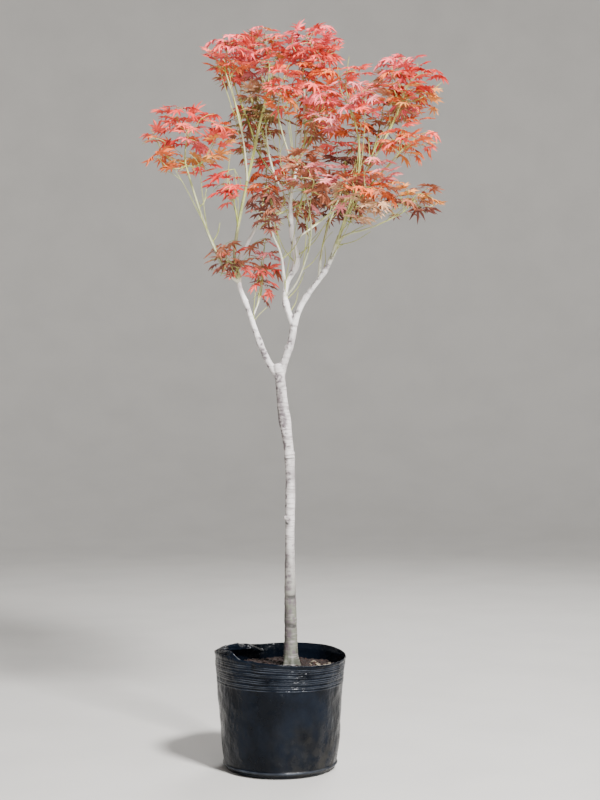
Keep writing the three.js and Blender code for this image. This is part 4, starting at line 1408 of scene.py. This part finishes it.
def leaf_outline(droop):
    """Points round a leaf in units of its length, tip first, ending at its foot"""
    half = []
    for k, (angle, share) in enumerate(LOBES):
        spread = math.degrees(math.atan2(LOBE_HALF_WIDTH, LOBE_SHOULDER * share))
        shoulder = math.hypot(LOBE_HALF_WIDTH, LOBE_SHOULDER * share)
        if k > 0:
            half.append(((angle + LOBES[k - 1][0]) / 2, NOTCH, 0))
            half.append((angle - spread, shoulder, LEAF_KEEL))
        half.append((angle, share, 0))
        half.append((angle + spread, shoulder, LEAF_KEEL))
    middle, *side = half
    other_side = [(-angle, reach, lift) for angle, reach, lift in reversed(side)]
    points = []
    for angle, reach, lift in [middle, *side, (180, LEAF_FOOT, 0), *other_side]:
        turn = math.radians(angle)
        points.append(Vector((reach * math.cos(turn), reach * math.sin(turn), lift - droop * reach * reach)))
    return points


def leaf_template(droop):
    """A sphere of two rows pressed into the lobed outline. Returns its points and faces"""
    outline = leaf_outline(droop)
    bm = bmesh.new()
    bmesh.ops.create_uvsphere(bm, u_segments=len(outline), v_segments=2, radius=1)
    for vert in bm.verts:
        is_pole = abs(vert.co.z) > 0.5
        if is_pole:
            vert.co = Vector((0, 0, math.copysign(LEAF_THICKNESS / 2, vert.co.z)))
        else:
            turn = math.atan2(vert.co.y, vert.co.x) / (2 * math.pi)
            vert.co = outline[round(turn * len(outline)) % len(outline)]
    bmesh.ops.recalc_face_normals(bm, faces=bm.faces)
    return points_and_faces(bm)


def placed_leaf(leaf, templates):
    """Points and faces of a leaf in its place"""
    points, faces = templates[leaf.droop]
    axes = np.array([leaf.heading, leaf.normal.cross(leaf.heading), leaf.normal])
    return points @ axes * leaf.size + np.array(leaf.palm), faces


def pot_radius(height):
    radii, heights = zip(*POT_OUTLINE)
    return float(np.interp(height, heights, radii))


def colour_property(name, description, default):
    return FloatVectorProperty(
        name=name, description=description, default=default, subtype="COLOR", size=3, min=0, max=1)


def length_property(name, description, millimetres):
    return FloatProperty(name=name, description=description, default=millimetres * MM, unit="LENGTH")


def power_property(name, description, watts):
    return FloatProperty(name=name, description=description, default=watts, unit="POWER")


class PotSettings(bpy.types.PropertyGroup):
    """Sizes and colours of the pot"""
    wall: length_property("Wall", "Thickness of the pot's wall", 2.2)
    rings: IntProperty(name="Rings", description="Moulded rings below the rim", default=11, min=0)
    ring_height: length_property("Ring height", "How far a ring stands out", 0.9)
    slack: length_property("Slack", "Depth of the folds in the soft film", 2.4)
    dent: length_property("Dents", "Depth of the wall's dents", 5)
    crumple: length_property("Crumple", "How far the rim's loose edge is crumpled", 9)
    colour: colour_property("Colour", "Black of the plastic", (0.0014, 0.0024, 0.0045))
    dust: colour_property("Dust", "Dried soil on the wall", (0.05, 0.044, 0.033))
    # Lightens the crests partly as scuffing and partly as painted highlight lines
    wear_and_highlight: colour_property("Wear", "Scuffed crests of the rings and the bead", (0.042, 0.048, 0.06))


class SoilSettings(bpy.types.PropertyGroup):
    """Sizes and colours of the potting soil"""
    lump: length_property("Lumps", "Height of the soil's lumps", 9)
    crumbs: IntProperty(name="Crumbs", description="Loose crumbs on the soil", default=620, min=0)
    chips: IntProperty(name="Chips", description="Pale chips on the soil", default=70, min=0)
    colour: colour_property("Colour", "Damp soil", (0.042, 0.018, 0.012))
    chip_colour: colour_property("Chip colour", "Pale chips", (0.6, 0.5, 0.35))


class WoodSettings(bpy.types.PropertyGroup):
    """Relief and colours of the bark"""
    relief: length_property("Relief", "Depth of the bark's relief", 0.7)
    old_colour: colour_property("Old bark", "Pale old bark", (0.64, 0.6, 0.585))
    # Paler than the old bark partly as painted light on the stems above the fork
    clean_lit_colour: colour_property("Upper bark", "Clean bark above the fork", (0.8, 0.77, 0.75))
    shade_colour: colour_property("Grey patches", "Grey patches in old bark", (0.24, 0.22, 0.215))
    moss_colour: colour_property("Foot", "Greenish grey of the trunk's foot", (0.15, 0.155, 0.118))
    dash_colour: colour_property("Dashes", "Short marks across old bark", (0.27, 0.24, 0.235))
    stain_colour: colour_property("Stains", "Small stains on old bark", (0.11, 0.085, 0.095))
    crack_colour: colour_property("Scars", "Dark scars in old bark", (0.05, 0.046, 0.042))
    young_colour: colour_property("Young bark", "Green of the young shoots", (0.24, 0.28, 0.04))
    pale_colour: colour_property("Pale bark", "Pale streaks on the shoots", (0.4, 0.41, 0.13))


class LeafSettings(bpy.types.PropertyGroup):
    """Size, number and tints of the leaves"""
    length: length_property("Length", "Leaf from its stalk to its tip", 43)
    fullness: FloatProperty(name="Fullness", description="Sprays for a large leaf of the frame", default=2.3)
    stalk: colour_property("Stalks", "Leaf stalks", (0.5, 0.12, 0.07))
    # Pink and rose, high in the masses, stand partly for painted light; bronze, brown and olive, low in them
    # and in the low and back masses, partly for painted shade
    coral: colour_property("Coral", "Coral leaves", (0.82, 0.12, 0.09))
    red: colour_property("Red", "Red leaves", (0.66, 0.045, 0.038))
    pink: colour_property("Pink", "Pink leaves", (0.86, 0.15, 0.165))
    rose: colour_property("Rose", "Pale rose leaves", (0.74, 0.22, 0.22))
    orange: colour_property("Orange", "Orange leaves", (0.74, 0.15, 0.04))
    amber: colour_property("Amber", "Amber leaves", (0.64, 0.24, 0.055))
    bronze: colour_property("Bronze", "Bronze leaves", (0.36, 0.12, 0.06))
    brown: colour_property("Brown", "Brown leaves", (0.2, 0.06, 0.04))
    olive: colour_property("Olive", "Olive leaves in the shade", (0.26, 0.17, 0.06))
    tan: colour_property("Tan", "Pale tan leaves", (0.56, 0.31, 0.17))


class StageSettings(bpy.types.PropertyGroup):
    """Light and floor"""
    key: power_property("Key light", "Power of the key light", 900)
    fill: power_property("Fill light", "Power of the fill light", 85)
    back: power_property("Back light", "Power of the back light", 160)
    floor: colour_property("Floor", "Pale floor", (0.6, 0.58, 0.55))
    sky: colour_property("Sky", "Soft light from above", (0.085, 0.092, 0.105))


class PLANT_OT_pot(bpy.types.Operator):
    """Build the pot's thin wall with its rings, dents and crumpled rim"""
    bl_idname = "plant.pot"
    bl_label = "Pot"

    def execute(self, context):
        settings = context.scene.plant_pot
        material = pot_material(settings)
        shell, flap = pot_shell(settings), rim_fold(settings)
        shade_smooth(shell)
        shade_smooth(flap)
        dress(shell, material, ["pot"])
        dress(flap, material)
        return {"FINISHED"}


def moulding(middle, section, out):
    """(radius, height) up a moulding that stands out from the wall"""
    return [(pot_radius(middle + offset) + out * share, middle + offset) for offset, share in section]


def lip(wall):
    """(radius, height) up the outside of the rim's lip, over it and down inside"""
    foot, low, high, inner_foot = LIP_HEIGHTS
    inside = POT_RIM_RADIUS - wall
    return [
        (POT_RIM_RADIUS - LIP_STEP, foot), (POT_RIM_RADIUS, low), (POT_RIM_RADIUS, high),
        (POT_RIM_RADIUS - wall / 2, POT_HEIGHT), (inside, high), (inside, inner_foot),
    ]


def pot_profile(settings):
    """(radius, height) from the middle of the underside, up the wall, over the rim and down inside"""
    wall = settings.wall / MM
    plain = np.linspace(*PLAIN_WALL, PLAIN_ROWS).tolist()
    outer = [*POT_UNDERSIDE, *moulding(BEAD_HEIGHT, BEAD_SECTION, BEAD_OUT)]
    outer += [(pot_radius(height), height) for height in plain]
    for k, height in enumerate(np.linspace(*RING_BAND, settings.rings).tolist()):
        middle = height + RING_STRAY * math.sin(RING_STRAY_STEP * k)
        outer += moulding(middle, RING_SECTION, settings.ring_height / MM)
    inner = [(pot_radius(height) - wall, height) for height in (*INNER_ROWS, *reversed(plain), INNER_FOOT)]
    return [*outer, *lip(wall), *inner, *POT_FLOOR]


def pot_shell(settings):
    """The turned wall, worn out of shape, its moulded crests marked for scuffing and painted highlights"""
    bm = turned(pot_profile(settings), POT_STEPS)
    crest = bm.verts.layers.float.new("crest")
    for vert in bm.verts:
        point = vert.co / MM
        proud = point.xy.length - pot_radius(point.z)
        # Crests that get the scuffed colour, which is partly a painted highlight
        vert[crest] = 1 if proud > CREST_OUT and CREST_BAND[0] < point.z < CREST_BAND[1] else 0
        vert.co = worn_pot(point, settings) * MM
    bmesh.ops.recalc_face_normals(bm, faces=bm.faces)
    return settled("pot_shell", bm)


def ripple(place, layers):
    """An uneven surface's height at a place. Its layers are (share, grain)"""
    return sum(share * noise.noise(place * grain) for share, grain in layers)


def crinkle(place, layers):
    """The same with sharp valleys between round crests"""
    return sum(share * abs(noise.noise(place * grain)) for share, grain in layers)


def dents_at(turn, height):
    """Depth of the wall's dents at a place, as a share of a full dent"""
    depth = 0.0
    for at, middle, half_turn, half_height, share in DENTS:
        across = ((turn - at + 180) % 360 - 180) / half_turn
        depth += share * math.exp(-across * across - ((height - middle) / half_height) ** 2)
    return depth


def film_folds(out, height):
    """How far the film bellies out at a place, as a share of its slack: soft folds less the short creases"""
    place = out * POT_RIM_RADIUS + UP * height
    folds = noise.noise(place * SWELL_GRAIN) + FOLD_SHARE * abs(noise.noise(place * FOLD_GRAIN))
    creases = abs(noise.noise(place * CREASE_GRAIN + out * CREASE_SHIFT))
    return folds - CREASE_SHARE * creases


def towards_top(height, start):
    """Grows from 0 at a start to 1 at the pot's top, slowly at first"""
    return max(0, (height - start) / (POT_HEIGHT - start)) ** 2


def loose_edge(turn, height):
    """How loose the rim's edge is at a place, from 0 to 1"""
    middle, half = sum(FOLD) / 2, (FOLD[1] - FOLD[0]) / 2
    on_fold = clamped((1 - abs(turn % 360 - middle) / half) * FOLD_ONSET)
    return on_fold * towards_top(height, CRUMPLE_START)


def worn_pot(point, settings):
    """Moves a point of the round pot, or of the soil in it, to where the soft, used pot has it"""
    flat = level(point)
    out = flat.normalized()
    angle = math.atan2(point.y, point.x)
    turn = math.degrees(angle)
    height = point.z / POT_HEIGHT
    crumple = settings.crumple / MM * loose_edge(turn, point.z)
    wave = ripple(out, CRUMPLE_WAVES)
    push = WAVE_DEPTH * height * noise.noise(out * WAVE_GRAIN + UP * height)
    push += settings.slack / MM * min(height / TAUT_FOOT, 1) * film_folds(out, point.z)
    push -= settings.dent / MM * dents_at(turn, point.z)
    push -= crumple * (CRUMPLE_PUSH[0] + CRUMPLE_PUSH[1] * wave)
    tilt = RIM_TILT[0] * math.sin(2 * angle) + RIM_TILT[1] * math.cos(angle)
    lift = tilt * towards_top(point.z, TILT_START) + crumple * (CRUMPLE_LIFT[0] + CRUMPLE_LIFT[1] * wave)
    outer = clamped((flat.length - DENT_FREE) / (POT_OUTLINE[0][0] - DENT_FREE))
    return point + (out * push + UP * lift) * outer


def folded(point, crumple):
    """Moves a point of the round flap inwards and down to where the crumpled film has it"""
    foot = FLAP_SECTION[0][1]
    place = level(point).normalized()
    turn = math.degrees(math.atan2(point.y, point.x)) % 360
    ends = min((turn - FOLD[0]) / FLAP_EASE, (FOLD[1] - turn) / FLAP_EASE, 1)
    loose = clamped((POT_RIM_RADIUS - FLAP_START - point.xy.length) / FLAP_REACH)
    rise = max(point.z - foot, 0) / (POT_HEIGHT - foot)
    fine = noise.noise(place * FLAP_FINE_GRAIN + UP * point.z * FLAP_FINE_RISE)
    wave = noise.noise(place * FLAP_GRAIN + UP) + FLAP_FINE_SHARE * fine
    run = CRINKLE_RUN * (point.z - point.xy.length)
    fine_folds = abs(noise.noise(place * CRINKLE_FINE_GRAIN + UP * run * CRINKLE_FINE_RUN))
    folds = abs(noise.noise(place * FLAP_GRAIN + UP * run)) + CRINKLE_FINE_SHARE * fine_folds
    inwards = crumple * (FLAP_PUSH[0] * loose * wave + FLAP_PUSH[1] * rise * folds)
    sag = FLAP_SAG[0] * noise.noise(place * FLAP_SAG_GRAIN) + FLAP_SAG[1] * folds
    return point - place * inwards - UP * ((1 - ends) * FLAP_END_DROP * rise + loose * sag)


def rim_fold(settings):
    """The film's loose edge, folded inwards over part of the rim and crumpled"""
    start, span = math.radians(FOLD[0]), math.radians(FOLD[1] - FOLD[0])
    section = [Vector(point) * MM for point in FLAP_SECTION]
    bm = turned(section, FLAP_STEPS, unit=1, start=start, angle=span)
    bmesh.ops.subdivide_edges(bm, edges=bm.edges, cuts=FLAP_CUTS, use_grid_fill=True)
    for vert in bm.verts:
        vert.co = worn_pot(folded(vert.co / MM, settings.crumple / MM), settings) * MM
    bmesh.ops.recalc_face_normals(bm, faces=bm.faces)
    bmesh.ops.solidify(bm, geom=bm.faces, thickness=FLAP_WALL * MM)
    return settled("rim_fold", bm)


def pot_material(settings):
    """Black plastic with a low sheen and scuffed crests, lightened there partly as painted highlight lines,
    smeared with dried soil low down on one side
    """
    material, tree, shader = new_material("Pot plastic", roughness=0.36, Specular_IOR_Level=0.11)
    black = mottle(tree, opaque(settings.colour), opaque(settings.colour, 2.6),
                   scale=14, stretch=0.8, amount=0.4, edge=0.25)
    axes = place_on_piece(tree)
    low = ramp(tree, axes["Z"], *in_metres(DUST_HEIGHTS))
    side = ramp(tree, axes["X"], *in_metres(DUST_SIDE), *DUST_SHARES)
    specks = patch_mask(tree, scale=38, stretch=0.9, amount=0.42, edge=0.4)
    dust = product(tree, product(tree, low, side), specks)
    dusty = mix_colours(tree, dust, black.outputs["Colour"], opaque(settings.dust))
    # The crests take the lighter colour partly as scuffing and partly as painted highlight lines
    rubbed = patch_mask(tree, scale=16, stretch=3.0, amount=0.45, edge=0.3)
    wear_and_highlight = product(tree, stored(tree, "crest"), rubbed)
    tree.links.new(mix_colours(tree, wear_and_highlight, dusty, opaque(settings.wear_and_highlight)), shader.inputs["Base Color"])
    tree.links.new(ramp(tree, dust, 0.0, 1.0, *POT_ROUGHNESS), shader.inputs["Roughness"])
    add_relief(tree, shader, scale=60, stretch=1.2, distance=1.8)
    return material


class PLANT_OT_soil(bpy.types.Operator):
    """Fill the pot with lumpy soil and scatter crumbs and pale chips on it"""
    bl_idname = "plant.soil"
    bl_label = "Soil"

    def execute(self, context):
        soil, pot = context.scene.plant_soil, context.scene.plant_pot
        fill = soil_fill(soil, pot)
        shade_smooth(fill)
        crumbs = scatter("soil_crumbs", soil.crumbs, CRUMB_SIZES, None, CRUMB_SEED, soil, pot)
        chips = scatter("pale_chips", soil.chips, CHIP_SIZES, CHIP_PATCH, CHIP_SEED, soil, pot)
        dress(fill, soil_material("Soil", soil.colour), ["soil"])
        dress(crumbs, soil_material("Soil crumbs", opaque(soil.colour, CRUMB_SHADE)))
        dress(chips, soil_material("Pale chips", soil.chip_colour))
        return {"FINISHED"}


def soil_fill(soil, pot):
    """The soil, turned like the pot, with a lumpy top"""
    side = [(pot_radius(height) - SOIL_GAP, height) for height in SOIL_SIDE]
    rim = pot_radius(SOIL_EDGE) - SOIL_GAP
    shares = [k / SOIL_RINGS for k in range(SOIL_RINGS, -1, -1)]
    top = [(rim * share, SOIL_TOP - SOIL_DIP * share ** 2) for share in shares]
    bm = turned([*SOIL_BASE, *side, *top], SOIL_STEPS)
    for vert in bm.verts:
        point = vert.co / MM
        if point.z > LUMPS_START:
            point.z += soil_height(point, soil)
        vert.co = worn_pot(point, pot) * MM
    bmesh.ops.recalc_face_normals(bm, faces=bm.faces)
    return settled("soil_fill", bm)


def soil_height(point, settings):
    """Height of the lumps at a place on the soil, with the mound round the trunk's foot"""
    flat = level(point)
    mound = MOUND_HEIGHT * math.exp(-((flat - level(TRUNK_FOOT)).length / MOUND_REACH) ** 2)
    return settings.lump / MM * (ripple(flat, SOIL_SWELLS) + crinkle(flat, SOIL_LUMPS)) + mound


def scatter(name, count, sizes, patch, seed, soil, pot):
    """Loose bits on the soil, even over all of it or thinning out from the middle of a patch"""
    draw = random.Random(seed).random
    bit = bmesh.new()
    bmesh.ops.create_icosphere(bit, subdivisions=1, radius=1)
    shape, sides = points_and_faces(bit)
    x, y, reach = patch or (0, 0, pot_radius(SOIL_TOP) - BIT_MARGIN)
    spread = 1 if patch else 0.5
    bits = []
    for _ in range(count):
        turn, run = 2 * math.pi * draw(), reach * draw() ** spread
        spot = Vector((x + run * math.cos(turn), y + run * math.sin(turn), SOIL_TOP))
        size = between(sizes, draw() ** SMALL_BIAS)
        stretch = np.array([size * between(BIT_STRETCH, draw()) for _ in range(3)]) * BIT_FLATNESS
        spin = np.array(Matrix.Rotation(2 * math.pi * draw(), 3, "Z") @ Matrix.Rotation(draw(), 3, "X"))
        spot.z += soil_height(spot, soil) - SOIL_DIP * (spot.xy.length / pot_radius(SOIL_TOP)) ** 2
        bits.append((shape * stretch @ spin + np.array(worn_pot(spot, pot)), sides))
    return copies(name, bits)


def soil_material(name, colour):
    """Crumbly soil or chips with darker patches, painted as the shade of hollows"""
    pattern = {"scale": 75, "amount": 0.5, "edge": 0.14}
    relief = {"scale": 260, "stretch": 1.0, "distance": 4}
    # The darker patches are painted shade for hollows
    return mottled_material(name, 0.95, opaque(colour), opaque(colour, 0.3), pattern, relief)


class PLANT_OT_wood(bpy.types.Operator):
    """Build the trunk, leaders and boughs with the relief of their bark"""
    bl_idname = "plant.wood"
    bl_label = "Trunk and boughs"

    def execute(self, context):
        settings = context.scene.plant_wood
        thick = [limb for limb in LIMBS if is_thick(limb)]
        thin = [limb for limb in LIMBS if not is_thick(limb)]
        old = old_wood(thick, settings.relief / MM)
        young = rods("boughs", [limb_strand(limb) for limb in thin], BOUGH_ROUNDNESS)
        material = bark_material(settings)
        for piece, slot, limbs in ((old, "bark", thick), (young, "shoot", thin)):
            store_age(piece)
            shade_smooth(piece)
            dress(piece, material, [limb.name for limb in limbs])
        return {"FINISHED"}


class PLANT_OT_twigs(bpy.types.Operator):
    """Grow the twigs and twiglets through every mass of foliage, and the bare twigs"""
    bl_idname = "plant.twigs"
    bl_label = "Twigs"

    def execute(self, context):
        leaf, wood = context.scene.plant_leaf, context.scene.plant_wood
        shoots, twiglets, _ = grow_crown(leaf.length / MM, leaf.fullness)
        strands = [tapered(shoot.path, shoot.radius, TWIG_TIP_RADIUS) for shoot in shoots]
        strands += [bare_strand(*twig) for twig in BARE_TWIGS]
        strands += [tapered(path, *TWIGLET_RADII, TWIGLET_PARTS) for path in twiglets]
        piece = rods("twigs", strands, TWIG_ROUNDNESS)
        shade_smooth(piece)
        dress(piece, twig_material(wood))
        return {"FINISHED"}


def bare_strand(name, at, length, lean, away, radius):
    """A bare twig with a light crook in its middle"""
    foot = point_on(grow_limbs()[name], at)
    crook = math.copysign(BARE_CROOK, lean)
    middle = foot + heading(lean + crook, away) * (length / 2)
    tip = middle + heading(lean - crook, away) * (length / 2)
    return tapered([foot, middle, tip], radius, TWIG_TIP_RADIUS, BARE_PARTS)


class PLANT_OT_leaves(bpy.types.Operator):
    """Set the leaves and their stalks on the twiglets, one piece for each tint"""
    bl_idname = "plant.leaves"
    bl_label = "Leaves"

    def execute(self, context):
        settings = context.scene.plant_leaf
        _, _, leaves = grow_crown(settings.length / MM, settings.fullness)
        templates = {droop: leaf_template(droop) for droop in LEAF_DROOPS}
        for tint, slot in TINT_SLOTS.items():
            tinted = [placed_leaf(leaf, templates) for leaf in leaves if leaf.tint == tint]
            piece = copies(f"{tint}_leaves", tinted)
            replaced = [mass.name for mass in MASSES if mass.tints[len(mass.tints) // 2] == tint]
            dress(piece, leaf_material(tint, getattr(settings, tint)), replaced)
        stalks = rods("stalks", [stalk_strand(leaf) for leaf in leaves], STALK_ROUNDNESS)
        shade_smooth(stalks)
        dress(stalks, stalk_material(settings))
        return {"FINISHED"}


def stalk_strand(leaf):
    """A stalk from its node to the leaf's palm, arched a little"""
    return arched(leaf.node, leaf.palm, leaf.normal, STALK_MIDDLE, STALK_ARCH), STALK_RADII


def studio_floor():
    """A round floor that sweeps up into a wall"""
    steps = [k * math.pi / (2 * BEND_STEPS) for k in range(BEND_STEPS + 1)]
    bend = [(STAGE_RADIUS - STAGE_BEND * (1 - math.sin(a)), STAGE_BEND * (1 - math.cos(a))) for a in steps]
    floor = settled("floor", turned([(0, 0), *bend, (STAGE_RADIUS, STAGE_HEIGHT)], STAGE_STEPS, unit=1))
    shade_smooth(floor)
    return floor


def floor_material(settings):
    """Pale matt floor with the faintest patches"""
    pattern = {"scale": 3, "amount": 0.4, "edge": 0.4}
    return mottled_material("Floor", 0.8, opaque(settings.floor), opaque(settings.floor, 0.93), pattern)


def add_lights(settings):
    """Soft round lamps that face the plant"""
    for name, place, size in LIGHTS:
        lamp = bpy.data.lights.new(name, "AREA")
        lamp.energy, lamp.shape, lamp.size = getattr(settings, name), "DISK", size
        light = show(name, lamp)
        light.location = place
        light.rotation_euler = (LIGHT_AIM - Vector(place)).to_track_quat("-Z", "Y").to_euler()


def add_sky(scene, colour):
    scene.world = bpy.data.worlds.new("Surroundings")
    scene.world.use_nodes = True
    scene.world.node_tree.nodes["Background"].inputs["Color"].default_value = opaque(colour)


def add_camera(scene):
    """The camera that the photo was taken with, by its place, its tilt and its focus"""
    lens = bpy.data.cameras.new("camera")
    lens.lens = CAMERA_FOCUS_PX / IMAGE_HEIGHT_PX * lens.sensor_width
    scene.camera = show("camera", lens)
    scene.camera.location = CAMERA_PLACE
    scene.camera.rotation_euler = (math.radians(90 - CAMERA_DIP), 0, 0)


class PLANT_OT_stage(bpy.types.Operator):
    """Set up the pale floor, the soft lights and the camera"""
    bl_idname = "plant.stage"
    bl_label = "Stage"

    def execute(self, context):
        settings = context.scene.plant_stage
        floor = studio_floor()
        floor.data.materials.append(floor_material(settings))
        add_lights(settings)
        add_sky(context.scene, settings.sky)
        add_camera(context.scene)
        return {"FINISHED"}


SETTINGS = {
    "plant_pot": PotSettings, "plant_soil": SoilSettings, "plant_wood": WoodSettings,
    "plant_leaf": LeafSettings, "plant_stage": StageSettings,
}
OPERATORS = (PLANT_OT_pot, PLANT_OT_soil, PLANT_OT_wood, PLANT_OT_twigs, PLANT_OT_leaves, PLANT_OT_stage)


class PLANT_PT_panel(bpy.types.Panel):
    """Settings and steps of the potted maple"""
    bl_idname = "PLANT_PT_panel"
    bl_label = "Potted Maple"
    bl_space_type = "VIEW_3D"
    bl_region_type = "UI"
    bl_category = "Maple"

    def draw(self, context):
        for name, kind in SETTINGS.items():
            box = self.layout.box()
            box.label(text=kind.__doc__)
            for label in kind.__annotations__:
                box.prop(getattr(context.scene, name), label)
        for operator in OPERATORS:
            self.layout.operator(operator.bl_idname)


CLASSES = (*SETTINGS.values(), *OPERATORS, PLANT_PT_panel)


def register():
    for kind in CLASSES:
        bpy.utils.register_class(kind)
    for name, kind in SETTINGS.items():
        setattr(bpy.types.Scene, name, PointerProperty(type=kind))


def unregister():
    for name in SETTINGS:
        delattr(bpy.types.Scene, name)
    for kind in reversed(CLASSES):
        bpy.utils.unregister_class(kind)


def main():
    register()
    bpy.ops.plant.stage()
    bpy.ops.plant.pot()
    bpy.ops.plant.soil()
    bpy.ops.plant.wood()
    bpy.ops.plant.twigs()
    bpy.ops.plant.leaves()


if __name__ == "__main__":
    main()
